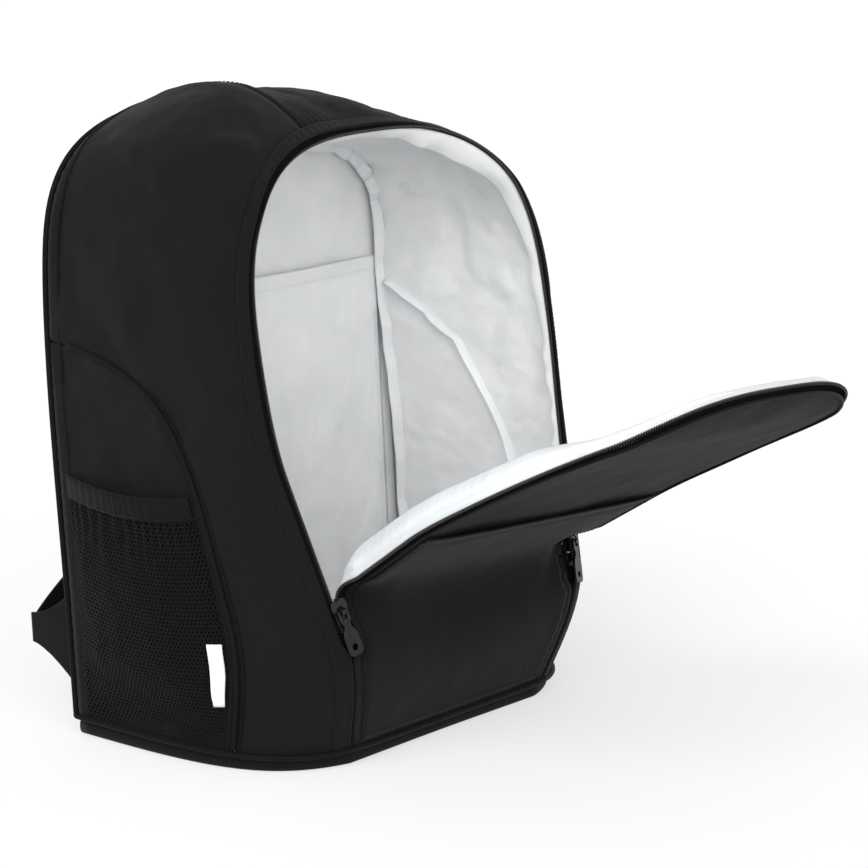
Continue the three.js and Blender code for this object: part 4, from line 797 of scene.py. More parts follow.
class StageLooks(bpy.types.PropertyGroup):
    """Floor, lights and camera."""

    floor: bpy.props.FloatVectorProperty(
        name="Floor", description="Colour of the floor", subtype="COLOR", default=(0.9, 0.9, 0.9))
    sky: bpy.props.FloatProperty(
        name="Sky", description="Strength of the even light all round", default=0.58, min=0)
    sun: bpy.props.FloatProperty(
        name="Sun", description="Strength of the soft lamp from above", default=1.5, min=0)
    front_light: bpy.props.FloatProperty(
        name="Front light", description="Strength of the broad lamp beside the camera", default=2.5, min=0)
    azimuth: bpy.props.FloatProperty(
        name="Azimuth", description="Where the camera stands round the bag", default=math.radians(-50.5),
        unit="ROTATION")
    elevation: bpy.props.FloatProperty(
        name="Elevation", description="How high the camera looks down from", default=math.radians(12.2),
        unit="ROTATION")
    distance: bpy.props.FloatProperty(
        name="Distance", description="Camera's distance from its target", default=2.0, unit="LENGTH")
    target: bpy.props.FloatVectorProperty(
        name="Target", description="Point that the camera looks at", default=(-0.095, -0.16, 0.228),
        unit="LENGTH")


class BagStage(bpy.types.Operator):
    """Makes the pale floor, the soft light and the camera"""

    bl_idname = "bag.stage"
    bl_label = "Stage"

    def execute(self, context):
        looks = context.scene.stage_looks
        scene = context.scene
        scene.view_settings.view_transform = "Standard"
        self.floor(looks)
        self.lights(scene, looks)
        self.camera(scene, looks)
        return {"FINISHED"}

    def floor(self, looks):
        bm = bmesh.new()
        bmesh.ops.create_grid(bm, x_segments=2, y_segments=2, size=14)
        mesh = bpy.data.meshes.new("studio_floor")
        bm.to_mesh(mesh)
        bm.free()
        material, tree, surface = shader("studio_floor", tuple(looks.floor), 0.9)
        path = node(tree, "ShaderNodeLightPath")
        seen = maths(tree, "MAXIMUM", path.outputs["Is Camera Ray"], path.outputs["Is Glossy Ray"])
        seen = maths(tree, "MAXIMUM", seen, path.outputs["Is Transmission Ray"])
        glow = node(tree, "ShaderNodeEmission", {"Color": (1, 1, 1, 1), "Strength": 1.1})
        share = maths(tree, "MULTIPLY", seen, 0.52)
        mixed = node(tree, "ShaderNodeMixShader", {0: share, 1: surface.outputs[0], 2: glow.outputs[0]})
        tree.links.new(mixed.outputs[0], tree.nodes["Material Output"].inputs["Surface"])
        floor = linked("studio_floor", mesh)
        mesh.materials.append(material)

    def lights(self, scene, looks):
        world = bpy.data.worlds.new("studio")
        world.use_nodes = True
        tree = world.node_tree
        path = node(tree, "ShaderNodeLightPath")
        seen = maths(tree, "MAXIMUM", path.outputs["Is Camera Ray"], path.outputs["Is Glossy Ray"])
        seen = maths(tree, "MAXIMUM", seen, path.outputs["Is Transmission Ray"])
        strength = fit(tree, seen, 0, 1, looks.sky, 1.0)
        background = tree.nodes["Background"]
        background.inputs["Color"].default_value = (1, 1, 1, 1)
        tree.links.new(strength, background.inputs["Strength"])
        scene.world = world
        for name, turn, power, spread in (
            ("side_sun", (math.radians(50), 0, math.radians(-80)), looks.sun, 40),
            ("fill_sun", (math.radians(78), 0, math.radians(-36)), looks.front_light, 70),
        ):
            lamp = bpy.data.lights.new(name, "SUN")
            lamp.energy = power
            lamp.angle = math.radians(spread)
            obj = linked(name, lamp)
            obj.rotation_euler = turn

    def camera(self, scene, looks):
        lens = bpy.data.cameras.new("photo_camera")
        lens.sensor_width = 36
        lens.lens = 36 * 3220 / 868
        camera = linked("photo_camera", lens)
        flat = math.cos(looks.elevation)
        away = Vector((math.sin(looks.azimuth) * flat, -math.cos(looks.azimuth) * flat, math.sin(looks.elevation)))
        camera.location = Vector(looks.target) + away * looks.distance
        camera.rotation_euler = away.to_track_quat("Z", "Y").to_euler()
        scene.camera = camera


# Shell: side walls, side panels, top panel, facing strip and their pipings

CENTRE_SHARE = SHOULDER + (1 - SHOULDER) * math.acos((60 / OPENING_HALF_WIDTH) ** 1.4) / (math.pi / 2)
FOOT_SHARE = share_at(WALL_FOOT)
SIDES = ((-1, "left"), (1, "right"))

# Soft folds that the bag's left wall shows: start, end, width and rise in millimetres
LEFT_FOLDS = (
    ((-154, 66, 388), (-164, 28, 369), 9, -2.4),
    ((-164, 28, 369), (-168, -6, 347), 9, -2.2),
    ((-150, 60, 398), (-158, 10, 386), 10, 1.8),
    ((-156, -8, 383), (-158, -22, 368), 7, -1.6),
    ((-139, -14, 398), (-114, -25, 398), 8, 1.5),
    ((-171, -2, 296), (-172, 18, 282), 10, -1.6),
    ((-168, 70, 330), (-171, 30, 300), 14, 1.2),
    ((-166, 80, 300), (-171, 40, 262), 12, -1.1),
    ((-166, -30, 330), (-164, -34, 270), 8, -1.1),
    ((-160, -34, 230), (-165, -10, 205), 9, 1.0),
)
RIGHT_FOLDS = (
    ((150, 70, 372), (160, 10, 330), 12, -2.2),
    ((158, 60, 340), (165, 0, 290), 14, 1.8),
    ((160, 80, 300), (168, 20, 250), 12, -1.6),
    ((150, 0, 360), (156, -20, 320), 9, 1.4),
    ((160, 30, 230), (160, -20, 190), 12, -1.2),
)
TOP_FOLDS = (
    ((-40, 80, 415), (-15, 10, 417), 9, 1.2),
    ((20, 70, 405), (45, -5, 396), 10, -1.8),
    ((-20, 90, 410), (40, 40, 402), 10, -1.0),
)


def relief(place, lines, seed):
    """How far a soft wall stands out: folds, slow swells and gathers along all of its seams."""
    deep = bpy.context.scene.bag_looks.crease
    across, along = lengths(place, 1), lengths(place, 0)
    far = across[:, -1:] - across
    top = along[-1:] - along
    near = np.minimum(np.minimum(across, far), np.minimum(along, top))
    open_share = ease(near / 14)
    rise = folds(place, lines) * 1.4 * open_share
    rise += (ripple(place, 62, seed) * 2.1 + ripple(place, 24, seed + 7) * 0.6) * open_share
    rise += pucker(across, along, int(seed) + 1) + pucker(far, along, int(seed) + 2, 7.0, 0.3)
    rise = np.where(rise < 0, 1.4 * np.tanh(rise / 1.4), rise)
    return rise * deep - 1.1 * np.exp(-near / 2.2)


def wall_cloth(name, u, low, ahead, columns, lines, seed, material, node_slot, *nodes):
    """A cloth panel on the wall, from the share low to a distance behind the zip."""
    u = np.asarray(u, float)
    high = behind_zip(u, [ahead])[:, 0] if np.isscalar(ahead) else np.asarray(ahead)
    shares = np.linspace(0, 1, columns)
    s = mix(np.asarray(low)[:, None], high[:, None], shares[None, :])
    grid_u = np.broadcast_to(u[:, None], s.shape)
    rise = relief(wall(grid_u, s, 1.4), lines, seed)
    place = wall(grid_u, s, 1.5 + rise)
    return cloth(name, place, material, "bag", node_slot, *nodes, thick=1.3)


class BagWalls(bpy.types.Operator):
    """Makes the soft side and top walls and the side panels behind the net pockets"""

    bl_idname = "bag.walls"
    bl_label = "Walls"

    def execute(self, context):
        for side, name in SIDES:
            lines = LEFT_FOLDS if side < 0 else RIGHT_FOLDS
            heights = np.concatenate([np.arange(WALL_FOOT, 214, 3.0), np.linspace(214, 246, 26), np.arange(249, 270, 3.0)])
            t = np.concatenate([share_at(heights), np.linspace(SHOULDER + 0.004, CENTRE_SHARE - 0.0006, 84)])
            seam = contour_share(t) + 0.004 * (contour_share(t) > 0)
            wall_cloth(name + "_side_cloth", side * (1 - t), seam, 12.0, 62, lines, 3.0 + side,
                       "fabric", "fabric", name + "_gusset_panel")
            low = share_at(np.concatenate([np.arange(WALL_FOOT, 214, 4.0), np.linspace(214, 244.5, 24)]))
            wall_cloth(name + "_side_panel", side * (1 - low), 0 * low + 0.001, contour_share(low) - 0.004, 34, (),
                       11.0 + side, "fabric", "fabric", name + "_contour_panel")
        t = np.concatenate([np.linspace(CENTRE_SHARE + 0.0006, 1, 42)])
        u = np.concatenate([t - 1, (1 - t[:-1])[::-1]])
        wall_cloth("top_panel", u, 0 * u + 0.001, 12.0, 66, TOP_FOLDS, 17.0, "twill", "weave", "top_centre_panel")
        self.seams(context)
        return {"FINISHED"}

    def seams(self, context):
        """Rows of stitches beside the seams of the centre panel and the curved side seams."""
        lines, normals = [], []
        for side, _ in SIDES:
            for step in (-0.0035, 0.0035):
                s = np.linspace(0.03, 0.93, 120)
                u = np.full_like(s, side * (1 - CENTRE_SHARE + step))
                line = wall(u, s, 1.75)
                lines.append(line)
                normals.append(unit(wall(u, s, 2.75) - line))
            t = share_at(np.linspace(16, 243, 150))
            s = contour_share(t) + 0.03
            u = side * (1 - t)
            line = wall(u, s, 1.75)
            lines.append(line)
            normals.append(unit(wall(u, s, 2.75) - line))
        stitched("wall_stitches", lines, normals, "bag", "fabric")


def strip_edge(u):
    z = OPENING_SHOULDER * (1 - np.abs(u)) / SHOULDER
    return mix(0.6, 5.4, ease((z - 92 + WALL_FRONT) / WALL_FRONT))


def round_bag(foot, count):
    """Stations right round the bag, from a height on the left to the same height on the right."""
    t = np.concatenate([
        np.linspace(share_at(foot), SHOULDER, count // 4),
        np.linspace(SHOULDER, 1, count // 4)[1:],
    ])
    return np.concatenate([t - 1, (1 - t[:-1])[::-1]])


class BagFacing(bpy.types.Operator):
    """Makes the strip of cloth beside the zip, folded at both edges and stitched"""

    bl_idname = "bag.facing"
    bl_label = "Facing strip"

    def execute(self, context):
        u = round_bag(12.6, 640)
        shares = np.array([0, 0.03, 0.1, 0.2, 0.35, 0.5, 0.65, 0.8, 0.9, 0.97, 1, 0.985, 0.93])
        out = np.array([1.5, 2.2, 2.5, 2.35, 2.3, 2.25, 2.2, 2.2, 2.3, 2.1, 1.2, 0.35, 0.3])
        edge = strip_edge(u)
        distance = mix(13.6, edge[:, None], shares[None, :])
        s = behind_zip(u, distance)
        grid_u = np.broadcast_to(u[:, None], s.shape)
        run = lengths(wall(u, s[:, 5], 2.0), 0)
        wave = pucker(np.abs(distance - 9) * 0, run[:, None] + 0 * distance, 31, 7.5, 0.16, 9.0)
        body = np.sin(math.pi * np.clip(shares, 0, 1))[None, :]
        place = wall(grid_u, s, out[None, :] + (wave + 0.25 * ripple(wall(grid_u, s, 2.0), 30, 5)) * body)
        cloth("zip_facing", place, "fabric", "bag", "fabric", "zip_facing_strip", thick=0.8)
        lines, normals = [], []
        for share in (0.16, 0.82):
            picked = behind_zip(u, mix(13.6, edge, share)[:, None])[:, 0]
            line = wall(u, picked, 2.35)
            lines.append(line)
            normals.append(unit(wall(u, picked, 3.35) - line))
        stitched("facing_stitches", lines, normals, "bag", "fabric")
        return {"FINISHED"}


class BagPiping(bpy.types.Operator):
    """Makes the cloth-covered cords along the seams of the bag"""

    bl_idname = "bag.piping"
    bl_label = "Piping"

    def execute(self, context):
        u = round_bag(12.6, 520)
        corner = wall(u, 0 * u, 1.3)
        corner[:, 1] += 1.3
        tube("back_corner_piping", corner, 1.9, "piping", "bag", "trim", "back_piping")
        u = round_bag(12.6, 320)
        under = np.stack([wall(u, 0 * u, -0.6) + points(0, 1.6, 0)] + [
            wall(u, at + 0 * u, 0.0) for at in (0.0, 0.012, 0.024, 0.036)], axis=1)
        cloth("corner_seam_tape", under, "tape", "bag", "trim", thick=0.5)
        self.stays()
        u = round_bag(15, 520)
        tube("back_corner_flange", wall(u, 0 * u + 0.035, 1.5), 1.3, "piping", "bag", "trim", sides=8, flat=0.5)
        for side, name in SIDES:
            z = np.concatenate([np.linspace(16, 214, 90), np.linspace(215, 244.6, 60)])
            t = share_at(z)
            seam = contour_share(t) + 0.003
            pitch = wall(side * (1 - t), seam + 0.001, 2.6)
            tube(name + "_seam_piping", pitch, 1.75, "piping", "bag", "trim", name + "_contour_piping")
            second = wall(side * (1 - t), seam + 0.022, 1.7)
            tube(name + "_seam_flange", second, 1.3, "piping", "bag", "trim", sides=8, flat=0.55)
        self.base(context)
        return {"FINISHED"}

    def stays(self):
        """Black cloth behind the zip's feet, between the side walls and the front."""
        for side, name in SIDES:
            z = np.linspace(12.6, 101, 60)
            t = share_at(z)
            u = side * (1 - t)
            behind = behind_zip(u, [8.0, 4.5, 1.5])
            share = 0.0 if side < 0 else 1.0
            columns = [wall(u, behind[:, k], -0.35) for k in range(3)]
            columns += [front_point(rim(u)[:, 0], z, 1.0)]
            columns += [cover(t, share + 0 * t, 0.9, inset) for inset in (2.5, 6.0, 9.5)]
            cloth(name + "_zip_stay", np.stack(columns, axis=1), "tape", "bag", "trim", thick=0.5)

    def base(self, context):
        height = WALL_FOOT + PIPING_RADIUS
        u = 1 - share_at(height)
        clear = 3.2
        side = wall(np.full(18, u), np.linspace(0, 0.92, 18), clear)
        half = float(along_knots(SPREAD_KNOTS, height))
        front = front_point(half * np.array([0.85, 0.6, 0.3, 0]), height, np.full(4, -clear))
        toe = rim(np.array([u])) + np.array([clear, -clear, 0]) * 0.85
        corner = skin(np.array([u]), 0.0) + np.array([clear, clear, 0]) * 0.6
        rear = points(corner[0, 0] * np.array([0, 0.45, 0.9]), float(back_depth(height)) + clear, height)
        right = np.concatenate([rear, corner, side, toe, front])
        left = right[::-1] * np.array([-1, 1, 1])
        path = smooth_path(np.concatenate([right, left[1:]]), 3.0)
        tube("base_seam_piping", path, 1.9, "piping", "bag", "trim", "base_piping", loop=True)


# Zip, front, lid and its padding


def lid_closed(t, share, depth, inset=0.0):
    """The closed lid's face: share 0 is its left edge and 1 its right; depth runs to its lining."""
    t, share = np.broadcast_arrays(np.asarray(t, float), np.asarray(share, float))
    edge = zip_point(1 - t, LID_EDGE + inset + 0 * t, 0 * t)
    arch = ease((edge[..., 2] - OPENING_SHOULDER) / (OPENING_HEIGHT - OPENING_SHOULDER))
    stand = LID_EDGE * np.sin(mix(math.radians(15), math.radians(36), arch))
    half = np.maximum(edge[..., 0], 0)
    raised = front_point(0, edge[..., 2], -stand)[..., 2] - edge[..., 2]
    return front_point(half * (2 * share - 1), edge[..., 2] - raised, depth - stand)


def cover(t, share, depth, inset=0.0):
    """The whole front, base to lid's top, with the lid closed."""
    t, share = np.broadcast_arrays(np.asarray(t, float), np.asarray(share, float))
    z = OPENING_SHOULDER * np.minimum(t, SHOULDER) / SHOULDER
    edge = mix(0.6, LID_EDGE, ease((z - 75) / 12))
    half = along_knots(SPREAD_KNOTS, z) - edge - inset
    low = front_point(half * (2 * share - 1), z, depth)
    high = lid_closed(t, share, depth, inset)
    place = mix(low, high, ease((z - FOLD_HEIGHT) / FOLD_LENGTH)[..., None])
    drawn = FOLD_INSET * np.sin(math.pi * np.clip((z - FOLD_HEIGHT) * FOLD_SLOPE / FOLD_LENGTH, 0, 1))
    place[..., 0] -= drawn * (2 * share - 1)
    return place


def bent(obj):
    """Bakes a piece's placement into its mesh; pieces are bent over the fold before this, by folded."""
    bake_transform(obj)
    return obj


FOLD_SLOPE = math.hypot(1, ZIP_LEAN)
LID_FOOT = FOLD_HEIGHT + FOLD_LENGTH / FOLD_SLOPE
POCKET_HEM = share_at(LID_FOOT + 66 / FOLD_SLOPE)


def levels(low, high, pitch=3.0):
    """Outline shares from a height to the lid's top or to another share."""
    z = np.arange(low, OPENING_SHOULDER, pitch)
    t = np.concatenate([share_at(z), np.linspace(SHOULDER, 1, 70)])
    t = t[t < high - 1e-5]
    return np.append(t, high)


def normals_of(place):
    along, across = np.gradient(place, axis=0), np.gradient(place, axis=1)
    return unit(np.cross(along, across))


class BagFront(bpy.types.Operator):
    """Makes the front cloth, the flat pocket over it and the lid's ribbed cloth"""

    bl_idname = "bag.front"
    bl_label = "Front and lid cloth"

    def execute(self, context):
        deep = context.scene.bag_looks.crease
        share = np.linspace(0, 1, 84)
        t = levels(WALL_FOOT, share_at(FOLD_HEIGHT + 8))
        grid_t, grid_s = np.meshgrid(t, share, indexing="ij")
        base = cover(grid_t, grid_s, 0)
        place = slackened(folded(cover(grid_t, grid_s, -1.3 - 0.5 * ripple(base, 45, 2)), base), base, 30)
        bent(cloth("front_cloth", place, "fabric", None, "fabric", "front_panel", thick=1.2, outside=(0, 60, 60)))
        self.pocket(deep)
        self.lid(deep)
        return {"FINISHED"}

    def pocket(self, deep):
        share = np.linspace(0, 1, 100)
        t = levels(15.3, POCKET_HEM, 2.4)
        grid_t, grid_s = np.meshgrid(t, share, indexing="ij")
        base = cover(grid_t, grid_s, -3.0, 7.0)
        across, along = lengths(base, 1), lengths(base, 0)
        edge = np.minimum(np.minimum(across, across[:, -1:] - across), along)
        from_hem = along[-1:] - along
        bulge = ease(edge / 45) * 1.2 + ripple(base, 70, 4) * 1.0 * ease(edge / 16) * ease(from_hem / 30)
        bulge += pucker(np.minimum(across, across[:, -1:] - across), along, 41, 9, 0.4, 7) + ripple(base, 24, 9) * 0.25
        bulge += 0.9 * np.exp(-((from_hem - 11) / 1.2) ** 2) * -1 + 0.7 * ease(1 - from_hem / 12)
        bulge += folds(base, (((-70, -90, 92), (60, -92, 98), 7, 1.6), ((-95, -90, 70), (-40, -88, 84), 9, -1.3),
                              ((30, -88, 60), (90, -92, 86), 10, 1.2), ((-20, -80, 140), (70, -80, 133), 7, -1.1)))
        bulge = bulge * deep - 1.2 * np.exp(-edge / 2.0)
        place = slackened(folded(cover(grid_t, grid_s, -3.1 - bulge, 7.0), cover(grid_t, grid_s, 0, 7.0)), base, 70)
        bent(cloth("front_pocket_cloth", place, "fabric", None, "fabric", "front_pocket", "flap_pocket_hem",
                   thick=1.1, outside=(0, 60, 60)))
        normal = self.outward(place)
        rows = [int(np.argmin(np.abs(from_hem[:, 50] - 9.5))), 2]
        lines = [place[row, 1:-1] + normal[row, 1:-1] * 0.1 for row in rows]
        faces = [normal[row, 1:-1] for row in rows]
        for column in (2, -3):
            lines.append(place[:, column] + normal[:, column] * 0.1)
            faces.append(normal[:, column])
        bent(stitched("pocket_stitches", lines, faces, None, "fabric"))

    def outward(self, place):
        normal = normals_of(place)
        away = place - np.array([0, 60, 60])
        return normal * (1 if (normal * away).sum() > 0 else -1)

    def lid(self, deep):
        share = np.linspace(0, 1, 100)
        t = levels(FOLD_HEIGHT, 1 - 1e-4, 2.6)
        grid_t, grid_s = np.meshgrid(t, share, indexing="ij")
        base = cover(grid_t, grid_s, -0.8)
        across, along = lengths(base, 1), lengths(base, 0)
        edge = np.minimum(np.minimum(across, across[:, -1:] - across), along[-1:] - along)
        rise = (ripple(base, 80, 6) * 1.2 + ripple(base, 26, 13) * 0.25) * ease(edge / 18)
        rise += pucker(edge, along + across, 47, 8.5, 0.3, 8)
        outer = cover(grid_t, grid_s, -0.9 - rise * deep + 0.7 * np.exp(-edge / 2.5))
        place = slackened(folded(outer, cover(grid_t, grid_s, 0)), base, 20)
        bent(cloth("lid_cloth", place, "twill", None, "weave", "flap_outer", "flap_fold", thick=1.1,
                   outside=(0, 60, 160)))
        lines, faces = [], []
        normal = self.outward(place)
        for column in (3, -4):
            lines.append(place[12:-3, column] + normal[12:-3, column] * 0.1)
            faces.append(normal[12:-3, column])
        bent(stitched("lid_stitches", lines, faces, None, "weave"))


class BagZip(bpy.types.Operator):
    """Makes both halves of the U-shaped zip: its tapes, teeth and end stops"""

    bl_idname = "bag.zip"
    bl_label = "Zip"

    def execute(self, context):
        u = round_bag(95.8, 560)
        distance = np.linspace(9.8, 0.3, 9)
        s = behind_zip(u, distance)
        grid_u = np.broadcast_to(u[:, None], s.shape)
        out = np.array([0.2, 0.3, 0.35, 0.35, 0.35, 0.4, 0.6, 0.5, 0.2])
        cloth("zip_tape", wall(grid_u, s, out[None, :]), "tape", "bag", "trim", "zip_tape_bag", thick=0.6)
        self.teeth("zip_teeth", 95.8, -1.05, 1, "bag", "zip_coil_bag")
        cord = zip_point(u, -1.0 + 0 * u, 0 * u)
        tube("zip_cord", cord, 0.85, "tape", "bag", "trim", sides=8)
        self.lid_half()
        self.stops()
        return {"FINISHED"}

    def stations(self, foot, across):
        u = round_bag(foot, 1600)
        line = zip_point(u, across + 0 * u, 0 * u)
        run = lengths(line, 0)
        pitch = bpy.context.scene.bag_looks.tooth / MM
        return np.interp(np.arange(pitch / 2, run[-1], pitch), run, u)

    def teeth(self, name, foot, across, hook, body, *nodes):
        u = self.stations(foot, across)
        spots = zip_point(u, across + 0 * u, 0 * u)
        _, along, into, inner = zip_frame(u)
        if body is None:
            angle = fold_angle(spots)
            spots = turned(spots, angle)
            along, into, inner = (turned_way(way, angle) for way in (along, into, inner))
        tooth = bead(name + "_one", 1.15, 2.3, 2.3)
        head = bead(name + "_head", 1.35, 1.0, 2.5)
        head.transform(Matrix.Translation((0, 0.85 * hook, 0)))
        bm = bmesh.new()
        bm.from_mesh(tooth)
        bm.from_mesh(head)
        bm.to_mesh(tooth)
        bm.free()
        matrices = [placed(*spot) for spot in zip(spots, along, into, inner)]
        obj = scattered(name, tooth, matrices, "teeth", body, "zip", *nodes)
        bpy.data.meshes.remove(tooth)
        bpy.data.meshes.remove(head)
        return obj

    def lid_half(self):
        self_made = self.teeth("lid_zip_teeth", 93.0, COIL_SPACE + 1.05, -1, None, "zip_coil_flap", "left_zip_end",
                               "right_zip_end")
        bent(self_made)
        u = round_bag(92.5, 560)
        cord = folded(zip_point(u, COIL_SPACE + 1.0 + 0 * u, 0 * u))
        bent(tube("lid_zip_cord", cord, 0.85, "tape", None, "trim", sides=8))
        across = np.array([COIL_SPACE + 0.3, 3.4, 4.4, 5.4, 6.4, 7.4, 8.4, 9.6])
        out = np.array([0.1, 0.2, 0.3, 0.4, 0.4, 0.4, 0.35, 0.0])
        grid_u = np.broadcast_to(u[:, None], (len(u), len(across)))
        place = folded(zip_point(grid_u, np.broadcast_to(across, grid_u.shape), -np.broadcast_to(out, grid_u.shape)))
        bent(cloth("lid_zip_tape", place, "tape", None, "trim", "zip_tape_flap", thick=0.6, outside=(0, 60, 160)))

    def stops(self):
        bm = bmesh.new()
        bmesh.ops.create_cube(bm, size=1)
        bmesh.ops.scale(bm, vec=(3.2, 7.4, 3.2), verts=bm.verts)
        bmesh.ops.bevel(bm, geom=bm.edges[:], offset=0.7, segments=3, profile=0.5, affect="EDGES", material=-1)
        block = bpy.data.meshes.new("stop_one")
        bm.to_mesh(block)
        bm.free()
        u = np.array([-1, 1]) * (1 - share_at(93.6))
        _, along, into, inner = zip_frame(u)
        spots = zip_point(u, 1.5 + 0 * u, 0 * u)
        matrices = [placed(*spot) for spot in zip(spots, along, into, inner)]
        scattered("zip_stops", block, matrices, "teeth", "bag", "zip")
        bpy.data.meshes.remove(block)


def dome(row, across):
    crown = 1 - (2 * row - 1) ** 4
    return mix(2.2, 8.0, crown * (1 - across ** 4))


class BagLid(bpy.types.Operator):
    """Makes the lid's rim piping, its white padding and the lining over the fold"""

    bl_idname = "bag.lid"
    bl_label = "Lid padding and rim"

    def execute(self, context):
        u = round_bag(88, 700)
        side = np.where(u < 0, 0.0, 1.0)
        rim_line = folded(cover(1 - np.abs(u), side, -1.0 + 0 * u, 0.5), cover(1 - np.abs(u), side, 0, 0.5))
        keep = np.append(True, np.linalg.norm(np.diff(rim_line, axis=0), axis=-1) > 0.4)
        bent(tube("lid_rim_piping", rim_line[keep], 1.1, "piping", None, "trim", "flap_piping"))
        self.fold_lining()
        self.pad(context)
        return {"FINISHED"}

    def fold_lining(self):
        t = levels(12, share_at(LID_FOOT - 14), 2.2)
        share = np.linspace(0, 1, 90)
        grid_t, grid_s = np.meshgrid(t, share, indexing="ij")
        base = cover(grid_t, grid_s, 1.6)
        across = lengths(base, 1)
        edge = np.minimum(across, across[:, -1:] - across)
        loose = np.abs(ripple(base, 34, 19)) * 2.2 * ease((base[..., 2] - 60) / 30) * ease(edge / 10)
        depth = 1.5 + loose + 0.4 * np.abs(ripple(base, 14, 3)) * ease(edge / 8)
        inset = mix(5.0, -1.5, ease((base[..., 2] - 97) / 12))
        place = folded(cover(grid_t, grid_s, depth, inset), cover(grid_t, grid_s, 0, inset))
        bent(cloth("front_lining", place, "lining", None, "lining", thick=0.7, outside=(0, -400, 60)))

    def fullness(self, t):
        """How far the padding stands: fullest over the fold, flat at the lid's top."""
        swell = 18.0 * ease((t - 0.238) / 0.075) - 2.5 * ease((t - 0.4) / 0.2)
        return 1.7 + swell - 6.5 * ease((t - 0.62) / 0.11) - 9.0 * ease((t - 0.9) / 0.09)

    def pad(self, context):
        """Padding from the fold to the lid's top: a steep sewn side, then a soft crown."""
        deep = context.scene.bag_looks.crease
        t = levels(105.5, 1 - 1e-4, 1.8)
        half = np.abs(cover(t, 0 * t, 0, -3.0)[:, 0])[:, None]
        full = self.fullness(t)[:, None]
        turn = np.linspace(0, math.pi / 2, 19)[None, :]
        wide = np.minimum(14.0, 0.6 * half)
        inward = wide * (1 - np.cos(turn) ** 0.91)
        height = full * np.sin(turn) ** 1.25 + 0 * inward
        inward += 1.5 * np.exp(-((height - 5.6) / 0.9) ** 2) - 1.0 * np.exp(-((height - 10.5) / 3.0) ** 2)
        middle = np.linspace(0, 1, 64)[None, 1:-1]
        x = np.concatenate([inward - half, mix(inward[:, -1:] - half, half - inward[:, -1:], middle),
                            (half - inward)[:, ::-1]], axis=1)
        depth = np.concatenate([height, np.repeat(full, middle.shape[1], axis=1), height[:, ::-1]], axis=1)
        share = (1 + x / half) / 2
        grid_t = np.broadcast_to(t[:, None], share.shape)
        face = cover(grid_t, share, 0, -3.0)
        run = lengths(face, 0)
        from_edge = half - np.abs(x)
        soft = ripple(face, 70, 8) * 1.3 + ripple(face, 26, 15) * 0.35
        gathers = pucker(np.abs(from_edge - 2), run, 53, 8.5, 0.4, 5)
        depth = 1.5 + depth + (soft * ease(from_edge / 22) * ease((full - 2) / 6) + gathers * ease(depth / 4)) * deep
        place = folded(cover(grid_t, share, depth, -3.0), face)
        pad = cloth("lid_padding", place, "padding", None, "lining", "flap_foam", "flap_lining", thick=1.0,
                    outside=(0, -250, 60))
        bent(pad)
        normal = normals_of(place)
        normal = normal * (1 if (normal * (place - np.array([0, -250, 60]))).sum() > 0 else -1)
        lines, faces = [], []
        rows = np.nonzero((full[:, 0] > 6.5) & (t > 0.262))[0]
        for end in (1, -1):
            column = np.argmin(np.abs(height[rows] - 5.6), axis=1)
            column = column if end > 0 else share.shape[1] - 1 - column
            spots = place[rows, column] + normal[rows, column] * 0.2
            lines.append(smooth_path(spots, 1.5))
            along = np.linspace(0, len(rows) - 1, len(lines[-1])).astype(int)
            faces.append(normal[rows, column][along])
        bent(stitched("lid_padding_stitches", lines, faces, None, "lining", "white_thread"))


# White inside: linings, slip pocket and bound seams


